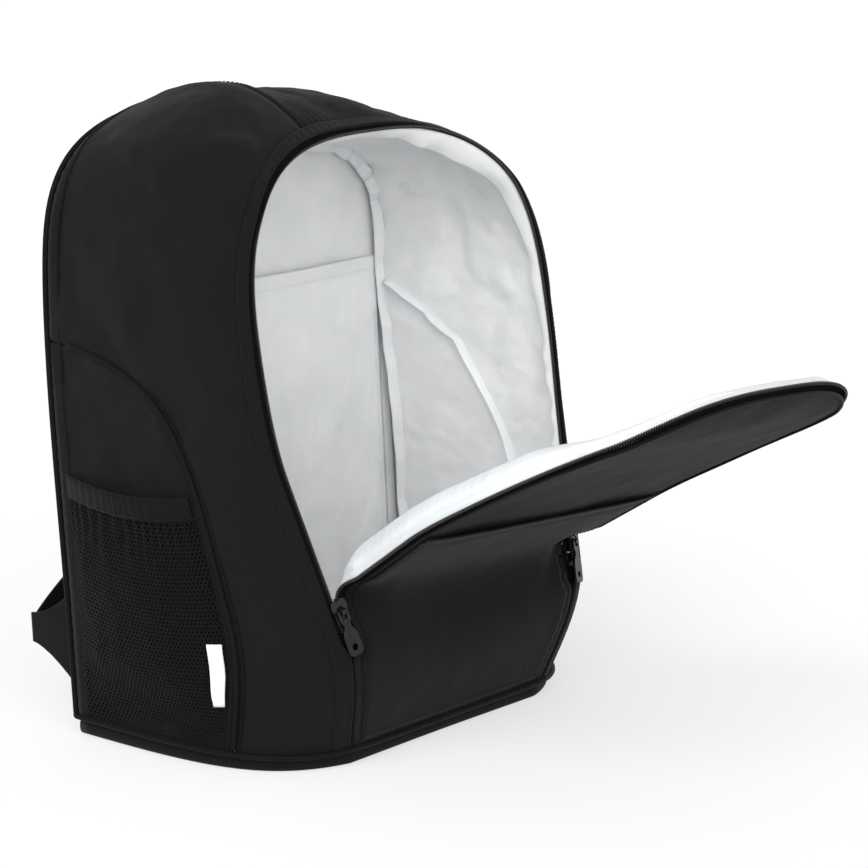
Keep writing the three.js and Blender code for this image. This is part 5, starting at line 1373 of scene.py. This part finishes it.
class BagLining(bpy.types.Operator):
    """Makes the white linings of walls, back and base, the slip pocket and the bound seams"""

    bl_idname = "bag.lining"
    bl_label = "Lining"

    def execute(self, context):
        deep = context.scene.bag_looks.crease
        u = round_bag(12, 420)
        shares = np.linspace(0, 1, 62)
        near = behind_zip(u, [3.0])[:, 0]
        s = mix(0.018, near[:, None], shares[None, :])
        grid_u = np.broadcast_to(u[:, None], s.shape)
        base = wall(grid_u, s, -2.0)
        across = lengths(base, 1)
        edge = np.minimum(across, across[:, -1:] - across)
        top = ease((base[..., 2] - 200) / 120)
        loose = np.abs(ripple(base, 46, 21)) * mix(2.4, 5.0, top) + np.abs(ripple(base, 17, 33)) * 0.8
        loose = (loose + folds(base, (
            ((155, 60, 340), (150, -10, 350), 9, 4), ((150, 40, 300), (160, -20, 270), 10, 3),
            ((60, 60, 395), (70, -10, 388), 10, 5), ((20, 50, 400), (10, -10, 398), 9, 3)))) * ease(edge / 12)
        sunk = self.sunk(base[..., 2]) * (1 - ease((s - 0.02) / 0.3))
        depth = mix(0.9, 2.9, ease(edge / 9)) + loose * deep + sunk
        cloth("wall_lining", wall(grid_u, s, -depth), "lining", "bag", "lining", "gusset_lining", thick=0.6,
              outside=(0, 900, 200))
        self.back(deep)
        self.floor()
        self.slip_pocket(deep)
        self.bindings()
        self.hem(deep)
        return {"FINISHED"}

    def sunk(self, z):
        """How far the loose lining hangs off the bag's back corner, more towards the top."""
        return np.interp(z, [150, 176, 258, 324, 368, 400], [0, 1, 7, 12, 16, 13])

    def hem(self, deep):
        """The lining's loose inner hem, hanging behind the zip."""
        u = round_bag(104, 420)
        rows = np.linspace(0, 1, 14)
        near = behind_zip(u, [3.2])[:, 0]
        start = wall(u, near, -1.6)[:, None]
        _, along, into, inner = zip_frame(u)
        normal = unit(wall(u, near, -3.0) - wall(u, near, -1.0))
        back = unit(wall(u, near - 0.02, -2.0) - wall(u, near, -2.0))
        way = unit(normal * 0.75 + back * 0.62)[:, None]
        wide = mix(15.0, 7.5, ease((np.abs(u) - 0.22) / 0.3))
        run = lengths(start[:, 0], 0)
        wave = np.interp(run, np.arange(0, run[-1] + 23, 23), RANDOM.normal(0, 1, int(run[-1] / 23) + 2))
        wide = (wide * (1 + 0.14 * wave))[:, None, None]
        reach = rows[None, :, None]
        curl = (1.6 * np.sin(run / 9.0 + 2 * wave)[:, None, None] * reach ** 2 + 1.2 * np.sin(reach * 3.0)) * deep
        place = start + way * reach * wide + into[:, None] * curl
        cloth("lining_hem", place, "lining", "bag", "lining", thick=0.7)

    def back(self, deep):
        z = np.arange(11.5, BACK_SHOULDER, 3.6)
        t = np.concatenate([SHOULDER * z / BACK_SHOULDER, np.linspace(SHOULDER, 1 - 1e-4, 60)])
        share = np.linspace(0, 1, 90)
        grid_t, grid_s = np.meshgrid(t, share, indexing="ij")
        base = back_point(grid_t, grid_s, 9.0, 6.0)
        edge = np.minimum(lengths(base, 1), lengths(base, 1)[:, -1:] - lengths(base, 1))
        loose = (np.abs(ripple(base, 60, 27)) * 2.2 + np.abs(ripple(base, 20, 5)) * 0.5) * ease(edge / 14)
        place = back_point(grid_t, grid_s, 8.9 + loose * deep, 2.0)
        cloth("back_cloth_inside", place, "lining", "bag", "lining", "back_lining", thick=0.7, outside=(0, 900, 200))

    def floor(self):
        u = 1 - share_at(12.0)
        s = np.linspace(0.04, 0.97, 50)
        side = skin(np.full(50, u), s)
        share = np.linspace(-1, 1, 70)
        half = side[:, 0] - 2.5
        x = half[:, None] * share[None, :]
        y = np.broadcast_to(side[:, 1][:, None], x.shape)
        base = points(x, y, 12.2)
        place = points(x, y, 12.3 + np.abs(ripple(base, 50, 3)) * 1.4 + np.abs(ripple(base, 16, 9)) * 0.4)
        cloth("base_cloth_inside", place, "lining", "bag", "lining", "base_lining", thick=0.7, outside=(0, 0, -900))

    def slip_pocket(self, deep):
        rows = np.linspace(0, 1, 92)
        share = np.linspace(0, 1, 96)
        grid_r, grid_s = np.meshgrid(rows, share, indexing="ij")
        z = mix(26.3, 287.0, grid_r) + 1.6 * np.sin(grid_s * 7.0 + 0.6) * ease(grid_r * 2 - 1)
        crown = np.sin(math.pi * grid_s) * ease(grid_r * 1.2)
        inset = 16.0 - 4 * grid_r
        base = back_point(SHOULDER * z / BACK_SHOULDER, grid_s, 10.4 + 8 * crown, inset)
        along = lengths(base, 0)
        from_hem = along[-1:] - along
        loose = np.abs(ripple(base, 48, 35)) * 2.0 + np.abs(ripple(base, 18, 11)) * 0.5
        loose += 1.1 * ease(1 - from_hem / 13) - 0.8 * np.exp(-((from_hem - 12) / 1.1) ** 2)
        loose = loose * deep * ease(np.minimum(lengths(base, 1), lengths(base, 1)[:, -1:] - lengths(base, 1)) / 10)
        place = back_point(SHOULDER * z / BACK_SHOULDER, grid_s, 10.6 + 8 * crown + loose, inset)
        pocket = cloth("slip_pocket", place, "lining", "bag", "lining", "inner_slip_pocket", thick=0.8,
                       outside=(0, 900, 200))
        normal = normals_of(place)
        row = int(np.argmin(np.abs(from_hem[:, 48] - 10.5)))
        way = normal * (1 if normal[row, 48, 1] < 0 else -1)
        lines = [place[row, 2:-2] + way[row, 2:-2] * 0.1]
        faces = [way[row, 2:-2]]
        for column in (2, -3):
            lines.append(place[:, column] + way[:, column] * 0.1)
            faces.append(way[:, column])
        stitched("slip_pocket_stitches", lines, faces, "bag", "lining", "white_thread")

    def bindings(self):
        """Tape folded over the raw edges of the inner seams, standing up as soft ridges."""
        u = round_bag(15, 620)
        wave = np.interp(np.arange(len(u)), np.arange(0, 900, 9), RANDOM.normal(0, 1, 100))
        sunk = self.sunk(skin(u, 0.05 + 0 * u)[:, 2])
        path = wall(u, 0.052 + 0.006 * wave, -7.6 - 0.9 * wave - sunk)
        inward = wall(u[:1], np.array([0.052]), -12.0)[0] - path[0]
        tube("corner_binding", path, 4.4 + 0.35 * wave, "binding", "bag", "lining", sides=14, flat=0.3, up=inward)
        for side, name in SIDES:
            z = np.concatenate([np.linspace(16, 214, 90), np.linspace(215, 247, 50)])
            t = share_at(z)
            seam = np.interp(z, [0, 60, 110, 152, 182, 205, 221, 235, 247], [0.52, 0.5, 0.472, 0.43, 0.365, 0.29,
                                                                             0.22, 0.135, 0.055])
            seam = np.convolve(np.pad(seam, 9, mode="reflect", reflect_type="odd"), np.full(19, 1 / 19), "valid")
            jitter = np.interp(np.arange(len(z)), np.arange(0, 200, 7), RANDOM.normal(0, 1, 29))
            path = wall(side * (1 - t), seam, -6.6 - 0.5 * jitter - self.sunk(z) * (1 - ease((seam - 0.02) / 0.3)))
            inward = wall(np.array([side * (1 - t[0])]), seam[:1], -12.0)[0] - path[0]
            tube(name + "_seam_binding", path, 4.2 + 0.3 * jitter, "binding", "bag", "lining",
                 name + "_inner_binding", sides=14, flat=0.3, up=inward)


# Side pockets of net


class BagNet(bpy.types.Operator):
    """Makes the net side pockets, their elastic tops, seams and the bare tab"""

    bl_idname = "bag.net"
    bl_label = "Net pockets"

    def execute(self, context):
        looks = context.scene.bag_looks
        flat = self.flat_net(looks.net_cell / MM)
        for side, name in SIDES:
            self.net(flat, side, name)
            self.elastic(side, name)
        bpy.data.meshes.remove(flat)
        self.tab()
        return {"FINISHED"}

    def flat_net(self, cell):
        """A flat net of six-sided holes, 1 by 1, that the pockets are laid out from."""
        radius = cell / math.sqrt(3)
        bm = bmesh.new()
        bmesh.ops.create_circle(bm, segments=6, radius=radius, cap_ends=True)
        bmesh.ops.inset_region(bm, faces=bm.faces[:], thickness=radius * 0.3, use_boundary=True, use_even_offset=True)
        centre = [one for one in bm.faces if len(one.verts) == 6]
        bmesh.ops.delete(bm, geom=centre, context="FACES")
        one = bpy.data.meshes.new("net_one")
        bm.to_mesh(one)
        bm.free()
        bm = bmesh.new()
        shape = np.empty(len(one.vertices) * 3)
        one.vertices.foreach_get("co", shape)
        turn = Matrix.Rotation(math.pi / 6 * self.starts_flat(one), 4, "Z")
        for row in range(int(160 / (1.5 * radius)) + 2):
            for column in range(int(134 / cell) + 2):
                x = (column + 0.5 * (row % 2)) * cell
                one.transform(Matrix.Translation((x, row * 1.5 * radius, 0)) @ turn)
                bm.from_mesh(one)
                one.vertices.foreach_set("co", shape)
        bmesh.ops.remove_doubles(bm, verts=bm.verts, dist=cell * 0.02)
        for spot, way in (((2, 2, 0), (-1, 0, 0)), ((2, 2, 0), (0, -1, 0)), ((132, 156, 0), (1, 0, 0)),
                          ((132, 156, 0), (0, 1, 0))):
            bmesh.ops.bisect_plane(bm, geom=bm.verts[:] + bm.edges[:] + bm.faces[:], plane_co=spot, plane_no=way,
                                   clear_outer=True)
        net = bpy.data.meshes.new("net_flat")
        bm.to_mesh(net)
        bm.free()
        bpy.data.meshes.remove(one)
        return net

    def starts_flat(self, mesh):
        """1 where the hexagon's corners point sideways, so that a turn stands it on a corner."""
        reach = max(mesh.vertices, key=lambda vertex: vertex.co.length).co
        angle = math.degrees(math.atan2(reach.y, reach.x)) % 60
        return 1 if min(angle, 60 - angle) < 1 else 0

    def surface(self, side, row, share, out):
        top = mesh_top(share)
        z = mix(15.0, top, row)
        base = mesh_point(side, z, row, share, out)
        sag = (ripple(base, 52, 3.0 + side) * 2.4 + ripple(base, 19, 8.0) * 0.5) * ease(row / 0.2) * ease(share / 0.12) * ease((1 - share) / 0.12)
        gather = 0.7 * np.sin(share * 86 + 3 * np.sin(share * 9)) * ease((row - 0.72) / 0.28)
        return mesh_point(side, z, row, share, out + sag + gather)

    def net(self, flat, side, name):
        mesh = flat.copy()
        mesh.name = name + "_net"
        spots = np.empty(len(mesh.vertices) * 3)
        mesh.vertices.foreach_get("co", spots)
        spots = spots.reshape(-1, 3)
        share, row = (spots[:, 0] - 2) / 130, (spots[:, 1] - 2) / 154
        place = self.surface(side, row, share, 0.2)
        mesh.vertices.foreach_set("co", (place * MM).ravel())
        mesh.uv_layers.new(name="Cloth")
        mesh.update()
        obj = dress(linked(name + "_net", mesh), "net", "bag", "mesh", name + "_mesh_pocket")
        solid = obj.modifiers.new("Thickness", "SOLIDIFY")
        solid.thickness = 0.55 * MM
        solid.offset = 0

    def elastic(self, side, name):
        share = np.linspace(0, 1, 150)
        row = np.array([-0.02, 0.0, 0.06, 0.3, 0.55, 0.8, 0.95, 1.0, 0.99, 0.9])
        out = np.array([0.2, 1.2, 1.8, 1.9, 1.95, 1.9, 1.8, 1.2, 0.2, -0.3])
        grid_s, grid_r = np.meshgrid(share, row, indexing="ij")
        z = mesh_top(grid_s) - 0.4 + 13.6 * grid_r
        wave = 0.12 * np.sin(grid_s * 120 + 2 * np.sin(grid_s * 14))
        place = mesh_point(side, z, 1.0 + 0 * grid_r, grid_s, out[None, :] + wave)
        cloth(name + "_pocket_elastic_band", place, "elastic", "bag", "trim", name + "_pocket_elastic", thick=0.9)
        lines, faces = [], []
        for level in (1.6, 11.6):
            z = mesh_top(share) + level
            line = mesh_point(side, z, 1.0 + 0 * share, share, 2.1 + 0.12 * np.sin(share * 120 + 2 * np.sin(share * 14)))
            lines.append(line)
            faces.append(unit(mesh_point(side, z, 1.0 + 0 * share, share, 4.0) - line))
        stitched(name + "_elastic_stitches", lines, faces, "bag", "trim")

    def tab(self):
        """A bare tab, folded over, sewn into the pocket's front seam."""
        rows = np.linspace(0, 1, 22)
        share = np.linspace(0, 1, 12)
        grid_r, grid_s = np.meshgrid(rows, share, indexing="ij")
        z = 43.5 + 40 * grid_r
        t = share_at(z)
        width = np.linalg.norm(skin(t - 1, contour_share(t)) - skin(t - 1, 0 * t), axis=-1)
        across = 1 - (0.4 + mix(9.0, 11.6, grid_r) * (1 - grid_s)) / width
        row = (z - 15) / (mesh_top(across) - 15)
        curl = 2.2 * (1 - grid_s) ** 2 * (0.6 + 0.4 * np.sin(grid_r * 5)) + 0.5 * np.sin(grid_r * 9)
        place = mesh_point(-1, z, row, across, 2.4 + curl)
        label = cloth("bare_tab", place, "label", "bag", "label", "side_label", thick=0.5)


# Back, straps, handle and base

WING_REACH = 46.0


def copied(name, node_name, material, body, node_slot, bevel=0.0003):
    """A cleaned copy of a rigid CAD node, with softened edges."""
    source = frame["nodes"][node_name]
    bm = bmesh.new()
    bm.from_mesh(source.data)
    bmesh.ops.transform(bm, matrix=source.matrix_world, verts=bm.verts)
    bmesh.ops.remove_doubles(bm, verts=bm.verts, dist=1e-6)
    bmesh.ops.dissolve_limit(bm, angle_limit=math.radians(3), verts=bm.verts, edges=bm.edges)
    mesh = bpy.data.meshes.new(name)
    bm.to_mesh(mesh)
    bm.free()
    mesh.uv_layers.new(name="Cloth")
    obj = dress(linked(name, mesh), material, body, node_slot, node_name)
    edge = obj.modifiers.new("Edges", "BEVEL")
    edge.width = bevel
    edge.segments = 2
    edge.limit_method = "ANGLE"
    edge.angle_limit = math.radians(35)
    obj.modifiers.new("Shading", "WEIGHTED_NORMAL")
    return obj


class BagBack(bpy.types.Operator):
    """Makes the padded back with its sewn channels"""

    bl_idname = "bag.back"
    bl_label = "Padded back"

    def execute(self, context):
        z = np.concatenate([np.arange(WALL_FOOT, BACK_SHOULDER, 2.6)])
        t = np.concatenate([SHOULDER * z / BACK_SHOULDER, np.linspace(SHOULDER, 1 - 1e-4, 80)])
        share = np.linspace(0, 1, 140)
        grid_t, grid_s = np.meshgrid(t, share, indexing="ij")
        base = back_point(grid_t, grid_s, 0.0, 2.0)
        across, along = lengths(base, 1), lengths(base, 0)
        edge = np.minimum(np.minimum(across, across[:, -1:] - across), np.minimum(along, along[-1:] - along))
        x, height = base[..., 0], base[..., 2]
        groove = np.exp(-((np.abs(x) - 34) / 3.2) ** 2) * ease((height - 40) / 12) * ease((330 - height) / 10)
        for level in (40, 118, 196, 274, 330):
            reach = ease((np.abs(x) - 30) / 5) * ease((128 - np.abs(x)) / 5)
            groove = np.maximum(groove, np.exp(-((height - level) / 3.2) ** 2) * reach)
        outer = np.exp(-((np.abs(x) - 130) / 3.2) ** 2) * ease((height - 40) / 12) * ease((330 - height) / 10)
        groove = np.maximum(groove, outer)
        depth = 0.5 + 4.2 * groove - (0.35 * ripple(base, 40, 12)) + 1.6 * np.exp(-edge / 3.0)
        place = back_point(grid_t, grid_s, depth, 2.0)
        pad = cloth("back_padding", place, "air", "bag", "fabric", "back_panel", thick=3.2, outside=(0, -900, 200))
        self.straps()
        self.yoke()
        return {"FINISHED"}

    def straps(self):
        spread = np.array([0.36, 0.4, 0.5, 0.61, 0.67, 0.68]) * BACK_HALF_WIDTH
        seat = 348 - 0.4
        drop = mix(seat, 152, np.array([0, 0.18, 0.42, 0.66, 0.85, 1]))
        centre = smooth_path(np.stack([-spread, 0 * spread, drop], axis=-1), 2.6)
        run = lengths(centre, 0)
        along = run / run[-1]
        tangent = unit(np.gradient(centre, axis=0))
        aside = unit(np.stack([-tangent[:, 2], 0 * along, tangent[:, 0]], axis=-1))
        half = mix(29.0, 14.0, ease((along - 0.72) / 0.28))
        stand = 0.4 + 19 * np.sin(math.pi * along ** 0.75) ** 1.2
        ends = mix(0.5, 1, ease(along / 0.12) * ease((1 - along) / 0.12))
        angle = np.linspace(0, 2 * math.pi, 57)[:-1]
        across = np.sign(np.cos(angle)) * np.abs(np.cos(angle)) ** 0.6
        lift = np.sign(np.sin(angle)) * np.abs(np.sin(angle)) ** 0.75
        for side, name in SIDES:
            wave = RANDOM.normal(0, 1, 40)
            swell = 1 + 0.03 * np.interp(run, np.linspace(0, run[-1], 40), wave)
            crown = mix(5.0, 11.0, 1 - np.abs(across) ** 4)[None, :] * (ends * swell)[:, None] / 2
            channel = 1 - 0.28 * np.exp(-((np.abs(across) - 0.8) / 0.05) ** 2)[None, :]
            x = centre[:, 0, None] + aside[:, 0, None] * half[:, None] * across[None, :]
            z = centre[:, 2, None] + aside[:, 2, None] * half[:, None] * across[None, :]
            place = on_back(x, z, stand[:, None] + 5.5 + lift[None, :] * crown * channel)
            rings = place * np.array([-side, 1, 1])
            strap = loft(name + "_padded_strap", rings, "air", "bag", "fabric", name + "_shoulder_strap")
            for edge in (-1, 1):
                line = on_back(centre[:, 0] + aside[:, 0] * half * edge * 0.99,
                               centre[:, 2] + aside[:, 2] * half * edge * 0.99, stand + 5.5)
                line = line * np.array([-side, 1, 1])
                kind = "outer" if edge > 0 else "inner"
                tube(f"{name}_strap_{kind}_binding", line, 2.3, "tape", "bag", "trim", sides=10, flat=0.75)

    def yoke(self):
        rows, share = np.linspace(0, 1, 26), np.linspace(0, 1, 110)
        grid_r, grid_s = np.meshgrid(rows, share, indexing="ij")
        base = settle(points(mix(-92, 92, grid_s), 0, 348 + 42 * grid_r), 0 * grid_s)
        edge = np.minimum(np.minimum(grid_r, 1 - grid_r) * 42, np.minimum(grid_s, 1 - grid_s) * 184)
        stand = 2.6 + 0.25 * ripple(base, 26, 3) - 1.2 * np.exp(-edge / 1.6)
        place = on_back(base[..., 0], base[..., 2], stand)
        cloth("yoke_patch", place, "twill", "bag", "fabric", "strap_yoke", thick=1.7, outside=(0, -900, 200))
        lines, faces = [], []
        for row in (3, 22):
            lines.append(place[row, 3:-3] + np.array([0, 0.1, 0]))
            faces.append(np.repeat([[0.0, 1.0, 0.0]], len(lines[-1]), axis=0))
        for column in (3, 30, 79, -4):
            lines.append(place[3:-3, column] + np.array([0, 0.1, 0]))
            faces.append(np.repeat([[0.0, 1.0, 0.0]], len(lines[-1]), axis=0))
        stitched("yoke_stitches", lines, faces, "bag", "fabric")


class BagCarrying(bpy.types.Operator):
    """Makes the corner wings, lower webbing, strap buckles, carry handle and its loops"""

    bl_idname = "bag.carrying"
    bl_label = "Webbing and handle"

    def execute(self, context):
        end_x = 0.68 * BACK_HALF_WIDTH
        buckle_z = 152 - 1.4 - 10
        buckle_stand = 0.4 + 5.5
        for side, name in SIDES:
            mirror = np.array([-side, 1, 1])
            self.wing(name, mirror)
            start = on_back(-158 + 2.9, 64.0, 0.4 + WING_REACH - 1.6)
            end = on_back(-end_x, buckle_z - 10.3, buckle_stand - 0.8)
            middle = np.array([mix(start[0], end[0], 0.7), start[1], mix(start[2], end[2], 0.3)])
            a = np.linspace(0, 1, 70)[:, None]
            line = (1 - a) ** 2 * start + 2 * a * (1 - a) * middle + a * a * end
            loop = line[-1] + np.array([[0, 1.2, 2.5], [0, 4.4, 5.6], [0, 5.4, 8.2], [0, 5.0, 5.2], [0, 3.6, 1.4], [0, 2.6, -7]])
            turn = np.concatenate([a[:, 0], np.ones(len(loop))]) * math.pi / 2
            line = np.concatenate([line, loop])
            aside = np.stack([-np.sin(turn), 0 * turn, np.cos(turn)], axis=-1)
            across = np.linspace(-10, 10, 15)
            place = line[:, None] + aside[:, None] * across[None, :, None]
            cloth(name + "_webbing", place * mirror, "trim", "bag", "trim", name + "_lower_webbing", thick=1.5,
                  outside=(0, -900, 200))
            copied(name + "_ladder_buckle", name + "_strap_buckle", "plastic", "bag", "plastic", 0.0006)
        self.handle()
        return {"FINISHED"}

    def wing(self, name, mirror):
        rows, share = np.linspace(0, 1, 34), np.linspace(0, 1, 26)
        grid_r, grid_s = np.meshgrid(rows, share, indexing="ij")
        root, tip = 24 + 76 * grid_r, 54 + 20 * grid_r
        z = mix(root, tip, 1 - (1 - grid_s) ** 1.6)
        base = on_back(-158 + 0 * z, z, 0.4 + WING_REACH * grid_s)
        swell = 0.5 * ripple(base, 24, 4) * ease(grid_s / 0.2) * ease((1 - grid_s) / 0.2)
        place = on_back(-157.6 + swell, z, 0.4 + WING_REACH * grid_s)
        side = -1 if mirror[0] > 0 else 1
        cloth(name + "_wing", place * mirror, "fabric", "bag", "fabric", name + "_corner_wing", thick=2.2,
              outside=(-side * 900, 100, 60))
        lines, faces = [], []
        for row in (3, -4):
            lines.append((place[row, 1:-1] + np.array([-0.2, 0, 0])) * mirror)
            faces.append(np.repeat([[-1.0, 0, 0]], len(lines[-1]), axis=0) * mirror)
        stitched(name + "_wing_stitches", lines, faces, "bag", "fabric")

    def handle(self):
        joint = next(joint for joint in frame["joints"] if joint["name"] == "handle_swing")
        pivot = np.array(joint["pos_m"]) / MM
        bend = 39.0
        angle = math.pi * np.arange(1, 16) / 16
        arc = np.stack([-bend * np.cos(angle), 0 * angle, -28 * np.sin(angle) ** 0.8], axis=-1)
        ends = np.array([[-54.8, 0, 0], [-50, 0, 0], [-43.6, 0, 0]])
        path = np.concatenate([ends, arc, ends[::-1] * np.array([-1, 1, 1])])
        path = smooth_path(path, 1.6)
        tilt = math.radians(15)
        y, z = path[:, 1], path[:, 2]
        path = points(path[:, 0], y * math.cos(tilt) - z * math.sin(tilt), y * math.sin(tilt) + z * math.cos(tilt))
        path = path + pivot
        run = lengths(path, 0)
        radius = 4.1 + 0.12 * np.sin(run * 0.9)
        tube("rolled_handle", path, radius, "trim", "carry_handle", "trim", "carry_handle", sides=18)
        seam = path + np.array([0, 3.0, -2.6])
        angle = np.linspace(-0.5 * math.pi, 1.05 * math.pi, 40)
        for side, name in SIDES:
            ring = np.stack([0 * angle, 5.55 * np.cos(angle + math.pi), 5.55 * np.sin(angle + math.pi)], axis=-1)
            foot = np.array([[0, -6.2, -14], [0, -6.1, -9], [0, -6.0, -5]])
            head = np.array([[0, -6.0, 3.5], [0, -6.1, 6.0], [0, -6.2, 8.5]])
            around = np.linspace(-0.86 * math.pi, 0.86 * math.pi, 44)
            ring = np.stack([0 * around, 6.0 * np.cos(around), 6.0 * np.sin(around)], axis=-1)
            line = smooth_path(np.concatenate([foot, ring, head]), 1.1)
            across = np.linspace(-4.5, 4.5, 9)
            x = side * (46 + 4.5)
            place = line[:, None] + np.array([1.0, 0, 0]) * across[None, :, None] + pivot + np.array([x, 0, 0])
            cloth(name + "_handle_loop", place, "trim", "bag", "fabric", name + "_handle_tab", thick=1.2,
                  outside=tuple(pivot + np.array([x, 0, 0])))


class BagBase(bpy.types.Operator):
    """Makes the rounded base panel"""

    bl_idname = "bag.base"
    bl_label = "Base"

    def execute(self, context):
        u = np.full(40, 1 - FOOT_SHARE)
        side = skin(u, np.linspace(0, 1, 40))
        front = front_point(np.linspace(side[-1, 0], 0, 20)[1:], WALL_FOOT, np.zeros(19))
        rear = points(np.linspace(0, side[0, 0], 20)[:-1], side[0, 1], WALL_FOOT)
        right = np.concatenate([rear, side, front])
        outline = np.concatenate([right, right[-2:0:-1] * np.array([-1, 1, 1])])
        middle = np.array([0, outline[:, 1].mean(), 0])
        inward = unit((middle - outline) * np.array([1, 1, 0]))
        rings = []
        for z, inset in ((0.0, 14.0), (0.0, 5.0), (0.25, 2.9), (1.0, 1.4), (2.5, 0.5), (5.0, 0.2), (8.0, 0.3),
                         (9.6, 0.9), (10.0, 2.2)):
            ring = outline + inward * inset
            ring[:, 2] = z
            rings.append(ring)
        loft("base_cloth", np.array(rings), "fabric", "bag", "fabric", "base_panel")
        return {"FINISHED"}


class BagMetal(bpy.types.Operator):
    """Makes the zip sliders and their pullers"""

    bl_idname = "bag.metal"
    bl_label = "Sliders and pullers"

    def execute(self, context):
        for _, name in SIDES:
            copied(name + "_zip_slider", name + "_slider", "metal", name + "_slider", "metal", 0.00035)
            copied(name + "_zip_puller", name + "_puller", "metal", name + "_puller", "metal", 0.0003)
        return {"FINISHED"}


OPERATORS = (
    BagStage, BagWalls, BagFacing, BagPiping, BagFront, BagZip, BagLid, BagLining, BagNet, BagBack, BagCarrying,
    BagBase, BagMetal,
)


class BagPanel(bpy.types.Panel):
    """Lists the steps that make the bag"""

    bl_idname = "VIEW3D_PT_racket_backpack"
    bl_label = "Racket backpack"
    bl_space_type = "VIEW_3D"
    bl_region_type = "UI"
    bl_category = "Bag"

    def draw(self, context):
        layout = self.layout
        for name in ("cloth", "trim", "lining", "metal", "weave", "stitch", "tooth", "net_cell", "crease"):
            layout.prop(context.scene.bag_looks, name)
        for name in ("floor", "sky", "sun", "azimuth", "elevation", "distance", "target"):
            layout.prop(context.scene.stage_looks, name)
        for operator in OPERATORS:
            layout.operator(operator.bl_idname)


CLASSES = (BagLooks, StageLooks, *OPERATORS, BagPanel)


def register():
    for one in CLASSES:
        bpy.utils.register_class(one)
    bpy.types.Scene.bag_looks = bpy.props.PointerProperty(type=BagLooks)
    bpy.types.Scene.stage_looks = bpy.props.PointerProperty(type=StageLooks)


def unregister():
    del bpy.types.Scene.stage_looks
    del bpy.types.Scene.bag_looks
    for one in reversed(CLASSES):
        bpy.utils.unregister_class(one)


def main():
    register()
    for operator in OPERATORS:
        getattr(bpy.ops.bag, operator.bl_idname.split(".")[1])()
    bpy.context.view_layer.update()


if __name__ == "__main__":
    main()
